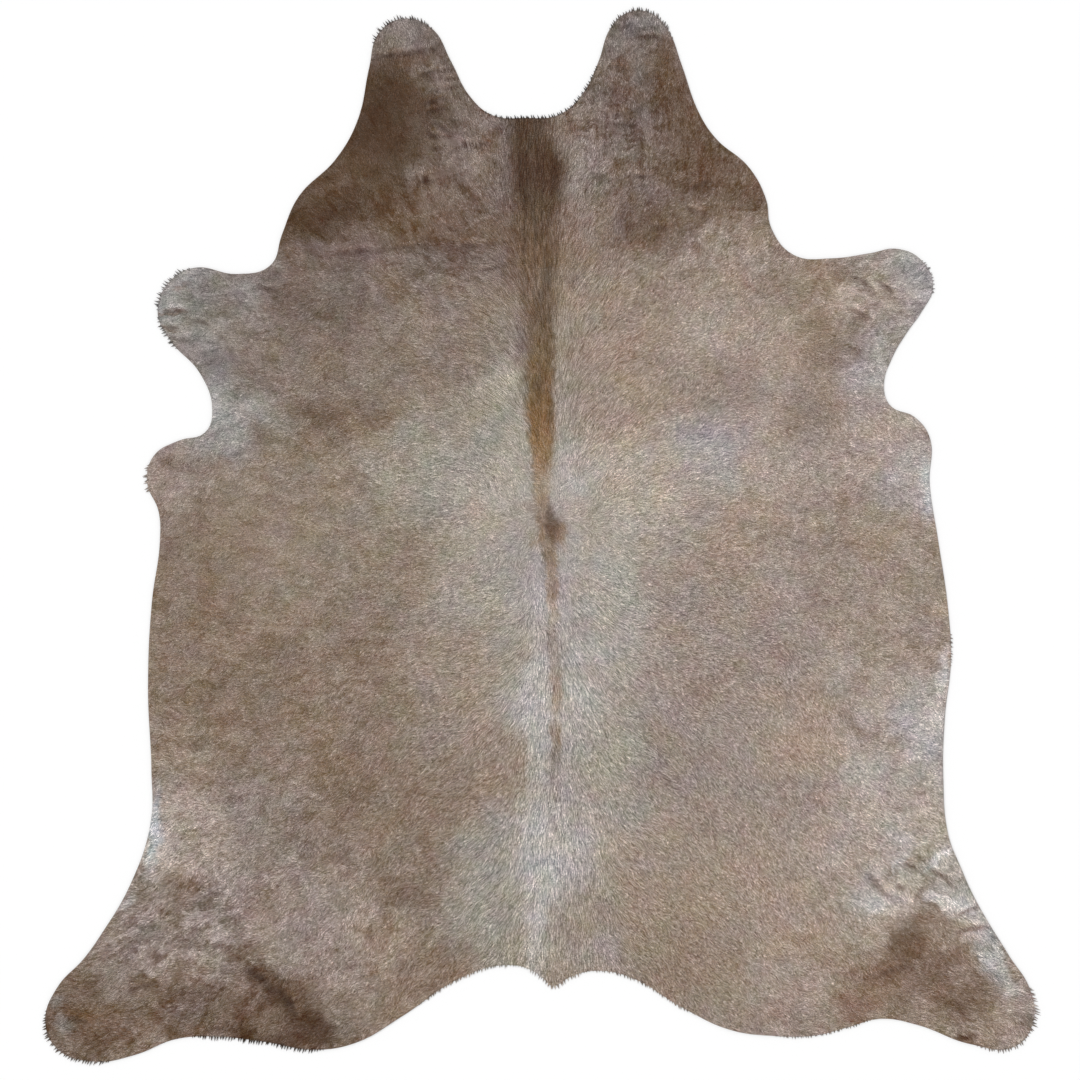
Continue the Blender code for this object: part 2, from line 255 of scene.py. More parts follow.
# The ground colour of each part of the coat, at (x, y) in millimetres: the tones run into
# each other between these places.
GROUND = {
    "neck": (
        (-284, 1058, "slate"), (-336, 916, "umber"), (-420, 790, "umber"), (-483, 674, "umber"),
        (-168, 811, "mouse"), (-206, 640, "mouse"), (-90, 790, "slate"), (-90, 640, "mouse"),
        (-231, 674, "walnut"), (-294, 727, "walnut"), (-368, 622, "mouse"), (85, 760, "taupe"),
        (105, 650, "dun"), (126, 968, "slate"), (189, 900, "mouse"), (210, 1063, "slate"),
        (200, 680, "mouse"), (336, 790, "walnut")),
    "shoulders": (
        (-147, 496, "fawn"), (-294, 500, "fawn"), (-441, 496, "slate"), (-210, 440, "taupe"),
        (-150, 370, "fawn"), (-462, 349, "fawn"), (-70, 330, "oat"), (336, 622, "drab"),
        (56, 590, "dun"), (100, 500, "sand"), (231, 500, "tan"), (420, 668, "dun"),
        (420, 496, "tan"), (546, 538, "buff"), (483, 412, "shell"), (378, 433, "shell"),
        (588, 401, "dun"), (189, 307, "tan"), (399, 328, "drab")),
    "fore shanks": (
        (-660, 496, "pewter"), (-777, 480, "dove"), (-609, 370, "fawn"), (-714, 359, "pewter"),
        (-651, 264, "dove"), (672, 496, "tan"), (777, 549, "ash"), (714, 370, "ash"),
        (578, 254, "drab")),
    "left flank": (
        (-420, 244, "dun"), (-252, 149, "oat"), (-63, 128, "linen"), (-525, 97, "buff"),
        (-767, 118, "drab"), (-700, 34, "dun"), (-735, -134, "dun"), (-690, -200, "dun"),
        (-540, -134, "buff"), (-609, -344, "dun"), (-399, -300, "dun"), (-326, -365, "buff"),
        (-714, -380, "dun"), (-735, -490, "buff"), (-189, -239, "sand"), (-200, -550, "dun"),
        (-400, -500, "dun"), (-300, -60, "buff"), (-147, -134, "linen"), (-60, -260, "oat"),
        (-90, -480, "sand")),
    "right flank": (
        (368, 191, "ash"), (189, 118, "cream"), (483, 160, "shell"), (690, 190, "shell"),
        (798, 118, "ash"), (777, -8, "sand"), (651, -29, "sand"), (441, 34, "tan"),
        (21, -160, "ash"), (126, -134, "linen"), (336, -134, "drab"), (168, -449, "oat"),
        (336, -386, "drab"), (536, -197, "drab"), (672, -218, "sand"), (273, -470, "taupe"),
        (798, -200, "tan"), (798, -400, "ash"), (693, -428, "shell"), (560, -420, "tan"),
        (640, -610, "shell"), (504, -554, "drab")),
    "rump": (
        (-714, -596, "shell"), (-609, -600, "taupe"), (-294, -722, "dun"), (-609, -827, "drab"),
        (-441, -848, "drab"), (-346, -827, "tan"), (-126, -806, "oat"), (-100, -650, "oat"),
        (-231, -922, "dun"), (17, -659, "silver"), (17, -344, "silver"), (126, -790, "sand"),
        (336, -750, "sand"), (480, -722, "tan"), (200, -900, "buff"), (336, -890, "buff"),
        (546, -974, "drab")),
    "hind shanks": (
        (-756, -995, "fawn"), (-945, -1006, "walnut"), (-546, -1016, "walnut"),
        (-819, -848, "taupe"), (640, -880, "sand"), (714, -785, "linen"), (588, -827, "tan"),
        (640, -985, "buff"), (770, -900, "russet"), (819, -925, "dun"), (914, -764, "linen"),
        (924, -974, "buff"), (998, -995, "drab")),
}
GROUND_SOFTNESS = 45 * MM

# The dark line down the backbone, from the neck to the rump: at each y in millimetres its
# middle and half its width, how strong it is and its tone.
BACKBONE = (
    (900, -15, 47, 1.0, "peat"), (830, -14, 49, 1.0, "umber"), (780, -7, 58, 1.0, "peat"),
    (745, -4, 61, 1.0, "peat"), (706, -8, 53, 1.0, "umber"), (643, -12, 45, 0.95, "chestnut"),
    (580, -6, 47, 0.95, "bark"), (510, -4, 40, 0.95, "walnut"), (433, 0, 30, 0.93, "bark"),
    (370, 2, 29, 0.93, "olive"), (307, 1, 29, 1.0, "olive"), (244, 2, 28, 1.0, "bronze"),
    (201, 3, 26, 1.0, "toffee"), (134, 4, 22, 0.9, "toffee"), (67, 6, 17, 0.7, "toffee"),
    (0, 17, 15, 0.8, "olive"), (-30, 19, 15, 0.7, "olive"), (-60, 22, 14, 0.6, "toffee"),
    (-90, 24, 13, 0.6, "toffee"), (-125, 26, 13, 0.65, "toffee"), (-150, 28, 11, 0.45, "straw"),
    (-190, 28, 11, 0.4, "fawn"), (-225, 27, 13, 0.45, "fawn"), (-262, 30, 13, 0.45, "fawn"),
    (-295, 34, 12, 0.5, "toffee"), (-320, 36, 12, 0.65, "rust"), (-344, 36, 11, 0.5, "toffee"),
    (-378, 34, 9, 0.2, "straw"), (-405, 33, 12, 0.55, "toffee"), (-435, 33, 12, 0.5, "toffee"),
    (-465, 34, 10, 0.5, "fawn"), (-520, 32, 9, 0.35, "drab"), (-570, 30, 6, 0.0, "straw"),
)
BACKBONE_SOFTNESS = 0.4
BACKBONE_WANDER = ((22 * MM, 4 * MM), (6 * MM, 5 * MM))     # size of the bends, and reach

# Markings that stand out from the ground: (x, y), half the length and the width, the turn
# of the length in degrees, how soft the border is, how strong the marking is, and its tone.
# Each lies over the ones before it.
MARKINGS = {
    "neck, left": (
        (-314, 950, 84, 50, 80, 0.5, 0.8, "umber"), (-325, 842, 108, 74, 65, 0.5, 0.9, "umber"),
        (-340, 850, 104, 58, 75, 0.6, 0.8, "peat"), (-389, 727, 112, 62, 35, 0.5, 0.7, "chestnut"),
        (-480, 665, 66, 34, 22, 0.35, 0.9, "umber"), (-425, 648, 46, 26, 20, 0.6, 0.7, "umber"),
        (-296, 775, 60, 30, 30, 0.6, 0.6, "umber"), (-378, 727, 60, 40, 30, 0.6, 0.5, "umber"),
        (-273, 731, 48, 26, 10, 0.7, 0.5, "chestnut"), (-440, 690, 60, 30, 30, 0.6, 0.5, "peat"),
        (-284, 1066, 80, 34, 4, 0.12, 0.95, "slate"), (-290, 1078, 60, 18, 4, 0.5, 0.5, "pewter"),
        (-200, 985, 40, 14, -60, 0.6, 0.5, "fawn"), (-250, 1016, 46, 16, 6, 0.5, 0.7, "chestnut"),
        (-280, 725, 40, 26, 30, 0.6, 0.7, "umber"), (-210, 748, 42, 14, 10, 0.6, 0.4, "chestnut"),
        (-136, 861, 24, 13, 0, 0.6, 0.7, "chestnut"), (-210, 925, 34, 9, 10, 0.6, 0.6, "slate"),
        (-197, 893, 40, 10, 20, 0.6, 0.6, "slate"), (-236, 770, 50, 30, 20, 0.5, 0.5, "slate"),
        (-110, 800, 70, 26, 80, 0.7, 0.6, "fawn"), (-250, 674, 80, 34, 0, 0.5, 0.6, "walnut"),
        (-180, 640, 70, 16, 0, 0.6, 0.6, "chestnut"), (-100, 630, 50, 30, 0, 0.6, 0.5, "walnut"),
        (-118, 650, 40, 36, 0, 0.6, 0.3, "bark"), (-330, 650, 60, 16, 12, 0.6, 0.4, "bark"),
        (-452, 606, 90, 14, 4, 0.5, 0.7, "mouse"), (-160, 900, 60, 40, -60, 0.7, 0.4, "fawn"),
        (-120, 570, 50, 60, 0, 0.6, 0.3, "mouse")),
    "neck, right": (
        (208, 1068, 52, 30, 0, 0.3, 0.8, "slate"), (210, 1074, 46, 26, 0, 0.5, 0.7, "pewter"),
        (275, 930, 118, 40, -75, 0.4, 0.85, "chestnut"),
        (318, 816, 84, 60, -40, 0.5, 0.7, "chestnut"),
        (412, 735, 80, 40, -38, 0.35, 0.65, "chestnut"), (336, 745, 44, 30, 0, 0.6, 0.5, "mouse"),
        (350, 680, 74, 22, 12, 0.5, 0.6, "chestnut"), (360, 684, 22, 9, 0, 0.5, 0.6, "bark"),
        (262, 664, 56, 42, 0, 0.5, 0.6, "walnut"), (236, 640, 50, 14, 0, 0.6, 0.5, "bark"),
        (172, 986, 20, 14, 0, 0.6, 0.6, "chestnut"), (200, 938, 46, 16, -50, 0.6, 0.5, "chestnut"),
        (150, 950, 14, 12, 0, 0.6, 0.5, "walnut"), (160, 885, 34, 9, 0, 0.6, 0.6, "walnut"),
        (112, 828, 12, 22, 0, 0.6, 0.6, "walnut"), (180, 770, 40, 10, -10, 0.6, 0.6, "walnut"),
        (168, 740, 16, 8, 0, 0.6, 0.6, "chestnut"), (196, 690, 14, 26, 20, 0.6, 0.6, "walnut"),
        (188, 660, 10, 14, 0, 0.6, 0.6, "chestnut"), (232, 805, 14, 14, 0, 0.6, 0.5, "fawn"),
        (196, 801, 26, 22, 0, 0.6, 0.5, "slate"), (95, 716, 92, 28, 90, 0.7, 0.7, "drab"),
        (95, 716, 92, 28, 90, 0.7, 0.15, "russet"), (300, 655, 30, 14, 0, 0.6, 0.5, "slate"),
        (210, 611, 60, 15, 0, 0.6, 0.5, "rust"), (399, 612, 84, 38, 0, 0.25, 0.7, "tan"),
        (60, 850, 46, 40, 0, 0.7, 0.4, "fawn")),
    "backbone": (
        (-50, 620, 26, 9, 90, 0.6, 0.8, "chestnut"), (-52, 578, 18, 9, 90, 0.6, 0.6, "bark"),
        (42, 610, 22, 9, 90, 0.6, 0.7, "chestnut"), (-60, 556, 30, 7, 5, 0.6, 0.5, "walnut"),
        (-34, 360, 75, 15, 90, 0.6, 0.5, "walnut"), (0, 455, 40, 24, 90, 0.6, 0.3, "bark"),
        (-4, 770, 80, 10, 90, 0.6, 0.4, "chestnut"), (22, 790, 60, 12, 95, 0.6, 0.4, "peat"),
        (16, 30, 34, 27, 90, 0.7, 0.7, "mouse"), (16, 50, 12, 9, 0, 0.5, 0.6, "chestnut"),
        (15, 30, 24, 15, 90, 0.6, 0.85, "umber"), (21, 4, 26, 12, 90, 0.7, 0.6, "bark"),
        (38, 0, 20, 9, 110, 0.6, 0.6, "toffee"), (-8, 8, 20, 6, 70, 0.6, 0.6, "toffee"),
        (-26, 48, 18, 12, 0, 0.6, 0.5, "slate")),
    "left shoulder": (
        (-525, 540, 46, 21, 90, 0.5, 0.5, "russet"), (-531, 540, 45, 5, 90, 0.5, 0.5, "chestnut"),
        (-536, 496, 52, 40, 0, 0.6, 0.5, "walnut"), (-588, 370, 84, 60, 0, 0.6, 0.3, "slate"),
        (-294, 502, 42, 26, 0, 0.7, 0.3, "russet"), (-462, 260, 48, 24, 0, 0.6, 0.75, "walnut"),
        (-347, 254, 34, 30, 0, 0.6, 0.5, "walnut"), (-586, 207, 28, 26, 0, 0.6, 0.6, "walnut"),
        (-84, 317, 63, 30, 60, 0.7, 0.5, "linen"), (-50, 400, 40, 14, 90, 0.6, 0.6, "mouse")),
    "left fore shank": (
        (-763, 473, 32, 5, 0, 0.7, 0.7, "walnut"), (-775, 437, 17, 4, 0, 0.7, 0.6, "walnut"),
        (-743, 527, 13, 4, 20, 0.7, 0.6, "walnut"), (-655, 252, 56, 34, 70, 0.6, 0.12, "buff"),
        (-795, 500, 60, 12, 60, 0.6, 0.6, "ash")),
    "right shoulder": (
        (462, 454, 44, 42, 0, 0.7, 0.4, "tan"), (592, 410, 56, 26, 90, 0.6, 0.5, "dun"),
        (399, 320, 64, 38, 0, 0.7, 0.4, "taupe"), (560, 265, 60, 40, 0, 0.6, 0.6, "fawn"),
        (190, 307, 150, 100, 0, 0.7, 0.08, "toffee"), (578, 254, 70, 50, 0, 0.7, 0.08, "toffee")),
    "right fore shank": (
        (690, 520, 50, 7, -45, 0.6, 0.6, "fawn"), (735, 520, 45, 6, -50, 0.6, 0.5, "fawn"),
        (775, 548, 50, 46, 0, 0.5, 0.6, "dove"), (714, 370, 44, 42, 0, 0.7, 0.5, "silver"),
        (670, 420, 50, 30, 60, 0.6, 0.3, "fawn"), (735, 510, 80, 70, 0, 0.7, 0.3, "cream")),
    "saddle": (
        (-252, 149, 168, 70, 0, 0.6, 0.3, "oat"), (-63, 110, 76, 42, 90, 0.7, 0.6, "cream"),
        (-85, 240, 70, 22, 70, 0.7, 0.6, "oat"), (189, 118, 147, 60, 0, 0.6, 0.6, "cream"),
        (368, 191, 72, 52, 60, 0.7, 0.3, "ash"), (66, 105, 60, 44, 50, 0.7, 0.7, "silver"),
        (-150, 40, 60, 90, 0, 0.7, 0.4, "cream")),
    "left flank": (
        (-767, 150, 40, 20, 0, 0.5, 0.3, "walnut"), (-683, 156, 30, 22, 0, 0.6, 0.4, "russet"),
        (-777, -40, 34, 20, 80, 0.6, 0.4, "slate"), (-697, -349, 28, 16, 40, 0.6, 0.6, "walnut"),
        (-536, -250, 34, 30, 0, 0.7, 0.4, "walnut"), (-431, -145, 34, 12, 0, 0.7, 0.45, "walnut"),
        (-231, -323, 22, 12, 0, 0.7, 0.4, "fawn"), (-483, -596, 22, 14, 40, 0.7, 0.4, "walnut"),
        (-420, -675, 24, 15, 0, 0.7, 0.5, "walnut"), (-210, -554, 130, 60, 60, 0.7, 0.6, "fawn"),
        (-179, -344, 210, 90, 90, 0.7, 0.4, "drab"), (-150, -300, 200, 60, 90, 0.7, 0.15, "straw"),
        (-640, -330, 120, 120, 0, 0.7, 0.1, "walnut")),
    "right flank": (
        (808, 100, 60, 18, 90, 0.6, 0.8, "frost"), (662, -29, 155, 140, 0, 0.6, 0.3, "drab"),
        (126, -400, 400, 70, 90, 0.5, 0.3, "linen"), (347, -386, 168, 110, 90, 0.6, 0.3, "drab"),
        (347, -323, 34, 21, 0, 0.7, 0.5, "fawn"), (536, -197, 147, 72, 90, 0.6, 0.4, "drab"),
        (620, -281, 44, 32, 0, 0.7, 0.4, "ash"), (804, -176, 84, 44, 90, 0.6, 0.5, "taupe"),
        (651, -386, 60, 8, -45, 0.7, 0.6, "fawn"), (798, -418, 94, 36, 90, 0.6, 0.5, "silver"),
        (836, -345, 90, 16, 88, 0.6, 0.6, "chalk"), (735, -640, 60, 40, -60, 0.7, 0.4, "silver"),
        (846, -285, 60, 9, 88, 0.6, 0.7, "chalk"), (690, -500, 54, 60, 0, 0.7, 0.4, "silver")),
    "rump": (
        (-8, -498, 440, 22, 90, 0.5, 0.6, "silver"), (-5, -735, 190, 26, 90, 0.6, 0.7, "silver"),
        (-284, -722, 70, 56, 0, 0.5, 0.3, "dun"), (-284, -764, 54, 21, 0, 0.5, 0.6, "walnut"),
        (-760, -600, 80, 26, 82, 0.6, 0.5, "linen"), (-812, -610, 85, 17, 86, 0.5, 0.9, "frost"),
        (-764, -752, 50, 32, 70, 0.6, 0.7, "walnut"), (-861, -760, 26, 12, 60, 0.6, 0.7, "silver"),
        (-424, -874, 11, 9, 0, 0.6, 0.5, "chestnut"), (-361, -825, 9, 8, 0, 0.6, 0.5, "chestnut"),
        (-350, -916, 20, 6, 0, 0.6, 0.5, "bronze"), (284, -922, 54, 50, 0, 0.6, 0.4, "fawn"),
        (494, -1012, 95, 36, 0, 0.6, 0.4, "fawn"), (105, -870, 80, 44, 0, 0.6, 0.4, "ash"),
        (64, -740, 130, 24, 90, 0.7, 0.2, "drab")),
    "left hind shank": (
        (-819, -855, 110, 46, 20, 0.6, 0.6, "taupe"), (-920, -995, 76, 24, 5, 0.5, 0.7, "chestnut"),
        (-914, -1046, 64, 13, -4, 0.5, 0.5, "chestnut"),
        (-1002, -1030, 24, 16, 0, 0.6, 0.6, "pewter"), (-860, -960, 60, 22, 10, 0.6, 0.4, "fawn"),
        (-725, -1006, 115, 50, 0, 0.5, 0.6, "chestnut"),
        (-795, -946, 52, 22, 0, 0.6, 0.65, "chestnut"), (-724, -966, 50, 13, 0, 0.6, 0.7, "umber"),
        (-915, -995, 50, 22, 0, 0.6, 0.3, "bronze"), (-1020, -985, 24, 18, 40, 0.5, 0.3, "dove"),
        (-745, -993, 38, 12, 0, 0.6, 0.6, "slate"), (-640, -1010, 60, 16, -20, 0.6, 0.2, "walnut"),
        (-598, -867, 32, 22, 0, 0.6, 0.6, "walnut"), (-563, -962, 108, 26, -43, 0.5, 0.95, "umber"),
        (-479, -1040, 46, 28, -20, 0.5, 0.85, "peat"),
        (-570, -1050, 125, 19, -6, 0.5, 0.9, "umber")),
    "right hind shank": (
        (725, -771, 50, 20, -8, 0.5, 0.7, "silver"), (682, -735, 24, 24, 0, 0.6, 0.5, "ash"),
        (768, -876, 84, 28, 56, 0.5, 0.7, "chestnut"), (770, -850, 30, 18, 50, 0.6, 0.25, "umber"),
        (714, -935, 34, 20, 45, 0.6, 0.5, "walnut"), (808, -815, 80, 12, 3, 0.5, 0.7, "walnut"),
        (806, -762, 26, 7, 75, 0.6, 0.7, "walnut"), (832, -790, 30, 10, -35, 0.6, 0.7, "walnut"),
        (861, -771, 46, 20, -15, 0.5, 0.8, "chalk"), (893, -789, 25, 4, 21, 0.6, 0.7, "chalk"),
        (906, -829, 36, 5, 12, 0.6, 0.7, "chalk"), (951, -893, 66, 26, -60, 0.45, 0.85, "silver"),
        (893, -964, 66, 32, 25, 0.5, 0.85, "walnut"), (819, -975, 50, 20, 20, 0.6, 0.4, "walnut"),
        (866, -842, 60, 20, -30, 0.6, 0.8, "dun"), (714, -830, 50, 26, 30, 0.6, 0.5, "tan"),
        (835, -902, 76, 40, 22, 0.6, 0.6, "walnut"), (650, -930, 40, 20, 30, 0.6, 0.4, "walnut"),
        (893, -1054, 26, 8, 0, 0.5, 0.9, "umber"), (925, -1006, 60, 5, 24, 0.6, 0.5, "drab"),
        (660, -985, 60, 26, 15, 0.5, 0.8, "rust"), (760, -985, 40, 16, 20, 0.6, 0.4, "walnut"),
        (767, -691, 20, 9, -20, 0.6, 0.7, "walnut"), (725, -722, 18, 16, 0, 0.6, 0.6, "walnut"),
        (752, -690, 60, 6, 50, 0.6, 0.75, "silver"), (836, -680, 56, 6, 44, 0.6, 0.85, "chalk"),
        (841, -953, 18, 14, 0, 0.6, 0.5, "russet"), (985, -1010, 26, 16, 0, 0.6, 0.4, "drab")),
}
MARKING_ROWS = [row for rows in MARKINGS.values() for row in rows]

# How the hair grows in each part, at (x, y): the share of a full lock's length, how far
# locks stray from the combing in degrees, how mottled the coat is, and how much one lock
# differs from the next.
GROWTH = {
    "backbone": (
        (0, 800, 1.0, 5, 0.3, 1.3), (0, 550, 1.0, 5, 0.3, 1.0), (0, 300, 0.95, 6, 0.3, 1.0),
        (15, 48, 0.5, 40, 0.3, 0.8), (15, 10, 0.5, 35, 0.3, 0.8), (20, -300, 0.75, 9, 0.2, 1.2),
        (20, -700, 0.8, 9, 0.3, 1.3)),
    "saddle": (
        (-150, 150, 0.6, 14, 0.3, 1.15), (180, 150, 0.6, 14, 0.3, 1.15),
        (-120, -200, 0.6, 12, 0.2, 1.2), (150, -200, 0.6, 12, 0.2, 1.4),
        (150, -500, 0.55, 12, 0.1, 1.5), (-150, -500, 0.6, 14, 0.2, 1.4)),
    "neck": (
        (-170, 850, 0.30, 32, 2.2, 0.9), (-300, 850, 0.34, 25, 0.9, 0.5),
        (-250, 650, 0.30, 32, 2.0, 0.9), (150, 850, 0.30, 30, 2.5, 1.3),
        (330, 780, 0.32, 28, 2.0, 1.3), (300, 600, 0.36, 26, 1.2, 1.2),
        (-284, 1050, 0.4, 25, 1.1, 0.8), (210, 1050, 0.4, 25, 1.4, 1.0)),
    "shoulders": (
        (-350, 450, 0.4, 28, 0.9, 1.0), (-450, 250, 0.4, 24, 0.9, 1.1),
        (350, 450, 0.38, 26, 0.4, 1.3), (550, 300, 0.38, 24, 0.4, 1.2)),
    "fore shanks": ((-700, 450, 0.45, 24, 1.2, 0.6), (720, 480, 0.45, 24, 1.5, 0.6)),
    "flanks": (
        (-600, 0, 0.4, 30, 0.8, 0.75), (-600, -350, 0.4, 30, 1.1, 1.1),
        (-400, -300, 0.4, 26, 1.0, 1.2), (-350, -650, 0.4, 24, 1.1, 1.3),
        (600, 50, 0.4, 24, 0.7, 1.2), (700, -300, 0.4, 26, 0.8, 1.2),
        (400, -300, 0.45, 16, 0.2, 1.6), (450, -650, 0.45, 14, 0.1, 1.6),
        (250, -800, 0.45, 14, 0.1, 1.6)),
    "hind shanks": (
        (-700, -950, 0.45, 20, 2.2, 1.3), (-950, -1020, 0.5, 20, 1.5, 1.2),
        (-450, -850, 0.42, 22, 1.0, 1.3), (750, -850, 0.45, 22, 1.0, 1.1),
        (950, -980, 0.6, 20, 1.1, 1.3)),
}
GROWTH_SOFTNESS = 40 * MM

# Between the markings, patterns made by chance, each as sizes with how far or how strongly that
# size acts: bends in the borders, light and dark blotches, a net of fine dark and light lines that
# run mostly across the rug, which are the painted shade and painted highlights of small wrinkles in
# the curly hair, and blotches of another hue.
BORDER_WANDER = ((70 * MM, 16 * MM), (24 * MM, 10 * MM), (9 * MM, 5 * MM), (4.5 * MM, 2.5 * MM))
BLOTCHES = ((60 * MM, 0.05), (28 * MM, 0.08), (13 * MM, 0.08), (6.5 * MM, 0.08))
BLOTCH_EDGE = 2.5                 # how sharply a blotch stands out from the next
PAINTED_WRINKLE_LINES = ((26 * MM, -0.24), (26 * MM, 0.22), (14 * MM, -0.22), (14 * MM, 0.16))
LINE_WIDTH, LINES_ALONG, LINES_ACROSS = 0.17, 0.7, 2.2
BRIGHTNESS_LIMITS = (0.5, 1.5)
HUE_BLOTCHES = ((45 * MM, (0.030, 0.0, -0.040)), (20 * MM, (0.015, 0.0, -0.020)),
                (42 * MM, (-0.010, 0.018, -0.010)), (19 * MM, (-0.010, 0.018, -0.010)),
                (9 * MM, (-0.007, 0.014, -0.007)))
STRANDS = ((2.6 * MM, 16, 0.30), (5.5 * MM, 14, 0.22))    # width, length in widths, contrast
GREY_LIGHT = np.array((1.09, 0.98, 0.93))
SHADE_LIMITS, DARKEST_SHARE = (0.25, 1.9), 0.25

# Painted shade in each wrinkle, least of all in red, and a painted highlight on the ridge on its
# left.
FOLD_SHADE, DEEPEST_SHADE = np.array((0.82, 0.93, 0.97)), 0.85
FOLD_GLEAM, WRINKLE_SPREAD, RIDGE_SHIFT = 0.5, 1.6, 1.7

# The lattices of chance numbers: points each way, the first one's turn in radians and the
# turn from one seed to the next, and the first seed of each pattern.
LATTICE_POINTS, FIRST_TURN, NEXT_TURN = 256, 0.4, 0.7
BORDER_X_SEED, BORDER_Y_SEED, BACKBONE_SEED, STRAND_SEED = 11, 21, 26, 28
BLOTCH_SEED, LINE_SEED, HUE_SEED = 31, 37, 41


def daylight(tone):
    """A tone's reflectance from its 8-bit display value by the display's own curve."""
    share = np.array(tone) / 255
    return np.where(share > 0.04045, ((share + 0.055) / 1.055) ** 2.4, share / 12.92)


def mottle(x, y, size, seed):
    """Smooth random blotches about `size` across, from -1 to 1: a lattice of random numbers
    at that pitch, turned off the axes, with 3s^2 - 2s^3 between its points both ways."""
    numbers = np.random.default_rng(seed).uniform(-1, 1, (LATTICE_POINTS, LATTICE_POINTS))
    turn = FIRST_TURN + NEXT_TURN * seed
    across = (np.cos(turn) * x + np.sin(turn) * y) / size
    along = (np.cos(turn) * y - np.sin(turn) * x) / size
    i, j = np.floor(across).astype(int), np.floor(along).astype(int)
    s, t = smooth(across - i), smooth(along - j)
    i0, i1 = i % LATTICE_POINTS, (i + 1) % LATTICE_POINTS
    j0, j1 = j % LATTICE_POINTS, (j + 1) % LATTICE_POINTS
    near = numbers[i0, j0] * (1 - s) + numbers[i1, j0] * s
    far = numbers[i0, j1] * (1 - s) + numbers[i1, j1] * s
    return near * (1 - t) + far * t


def bends(x, y, sizes, first_seed):
    """How far a border strays at each place: every size's blotches times its reach."""
    return sum(reach * mottle(x, y, size, first_seed + number)
               for number, (size, reach) in enumerate(sizes))


def charted(rows, softness):
    """Values charted at places, worked out over the whole chart: their mean, each weighed by
    one over the square of (squared distance + squared softness)."""
    total, weights = 0.0, 0.0
    for x, y, values in rows:
        offset = CHART - (x * MM, y * MM)
        weight = ((offset * offset).sum(axis=-1) + softness**2)[..., None] ** -2.0
        total, weights = total + weight * np.array(values), weights + weight
    return total / weights


GROUND_CHART = charted([(x, y, daylight(TONES[tone])) for places in GROUND.values()
                        for x, y, tone in places], GROUND_SOFTNESS)
GROWTH_CHART = charted([(x, y, values) for places in GROWTH.values()
                        for x, y, *values in places], GROWTH_SOFTNESS)


def backbone_line(x, y, colour):
    """The colour with the backbone's line laid over it: its rows joined in straight lines
    along y, and across x a mask that falls from 1 to 0 at its borders."""
    rows = sorted(BACKBONE)
    stations = [row[0] * MM for row in rows]
    middle, half_width, strength = (np.interp(y, stations, [row[k] for row in rows])
                                    for k in (1, 2, 3))
    tones = np.array([daylight(TONES[row[4]]) for row in rows])
    tone = np.column_stack([np.interp(y, stations, tones[:, k]) for k in range(3)])
    out = np.abs(x / MM - middle) / half_width
    mask = strength * smooth((1 + BACKBONE_SOFTNESS - out) / (2 * BACKBONE_SOFTNESS))
    mask *= (y > stations[0])
    strands = 1 + sum(depth * mottle(x, y / longer, width, STRAND_SEED + seed)
                      for seed, (width, longer, depth) in enumerate(STRANDS))
    return colour + mask[:, None] * (tone * strands[:, None] - colour)


def shaded(colour, shade):
    """A colour made lighter or darker by adding grey light or taking it away, so that pale
    hair is greyer and dark hair browner: colour + (shade - 1) x its mean x the grey, and
    never under the darkest share of it."""
    grey = colour.mean(axis=-1, keepdims=True) * GREY_LIGHT
    more = np.clip(shade, *SHADE_LIMITS)[..., None] - 1
    return np.maximum(colour + more * grey, DARKEST_SHARE * colour)


def coat_colour(x, y):
    """The coat's colour: the ground, the backbone's line, then each marking as an ellipse whose
    mask falls from 1 to 0 across its border, all read at a wandering place. That is multiplied by
    the hues and made lighter and darker by the blotches and by the painted shade and highlights of
    small wrinkles, with painted shade in each listed wrinkle and a painted highlight on the ridge
    beside it."""
    wander_x = x + bends(x, y, BORDER_WANDER, BORDER_X_SEED)
    wander_y = y + bends(x, y, BORDER_WANDER, BORDER_Y_SEED)
    colour = read_chart(GROUND_CHART, wander_x, wander_y)
    colour = backbone_line(x + bends(x, y, BACKBONE_WANDER, BACKBONE_SEED), y, colour)
    for px, py, half_length, half_width, turn, soft, strength, tone in MARKING_ROWS:
        reach = max(half_length * (1 + soft), 2 * half_width) * MM
        near = np.flatnonzero((np.abs(wander_x - px * MM) < reach)
                              & (np.abs(wander_y - py * MM) < reach))
        dx, dy = wander_x[near] - px * MM, wander_y[near] - py * MM
        c, s = np.cos(np.radians(turn)), np.sin(np.radians(turn))
        out = np.hypot((c * dx + s * dy) / half_length, (c * dy - s * dx) / half_width) / MM
        mask = strength * smooth((1 + soft - out) / (2 * soft))[:, None]
        colour[near] += mask * (daylight(TONES[tone]) - colour[near])
    mottled = read_chart(GROWTH_CHART, x, y)[..., 2]
    brightness = np.ones_like(x)
    for seed, (size, depth) in enumerate(BLOTCHES):
        blotch = mottle(wander_x, wander_y, size, BLOTCH_SEED + seed)
        brightness += depth * mottled * np.tanh(BLOTCH_EDGE * blotch)
    # Painted shade and painted highlights of small wrinkles: dark and light lines.
    for seed, (size, depth) in enumerate(PAINTED_WRINKLE_LINES):
        fine = mottle(LINES_ALONG * wander_x, LINES_ACROSS * wander_y, size, LINE_SEED + seed)
        line = 1 - np.abs(fine) / LINE_WIDTH
        brightness += depth * mottled * np.clip(line, 0, 1)
    hue = 1 + sum(mottle(x, y, size, HUE_SEED + seed)[:, None] * shift
                  for seed, (size, shift) in enumerate(HUE_BLOTCHES))
    hair = TONE_GAIN * shaded(colour * hue, np.clip(brightness, *BRIGHTNESS_LIMITS))
    # Painted shade in each listed wrinkle and a painted highlight on the ridge beside it.
    crease = fold_depth(WRINKLE_ROWS, x, y, wider=WRINKLE_SPREAD) / MM
    ridge = fold_depth(WRINKLE_ROWS, x, y, RIDGE_SHIFT, WRINKLE_SPREAD) / MM
    gleam = 1 + FOLD_GLEAM * np.clip(ridge, 0, 1)
    return hair * (1 - np.clip(crease, 0, DEEPEST_SHADE)[:, None] * FOLD_SHADE) * gleam[:, None]


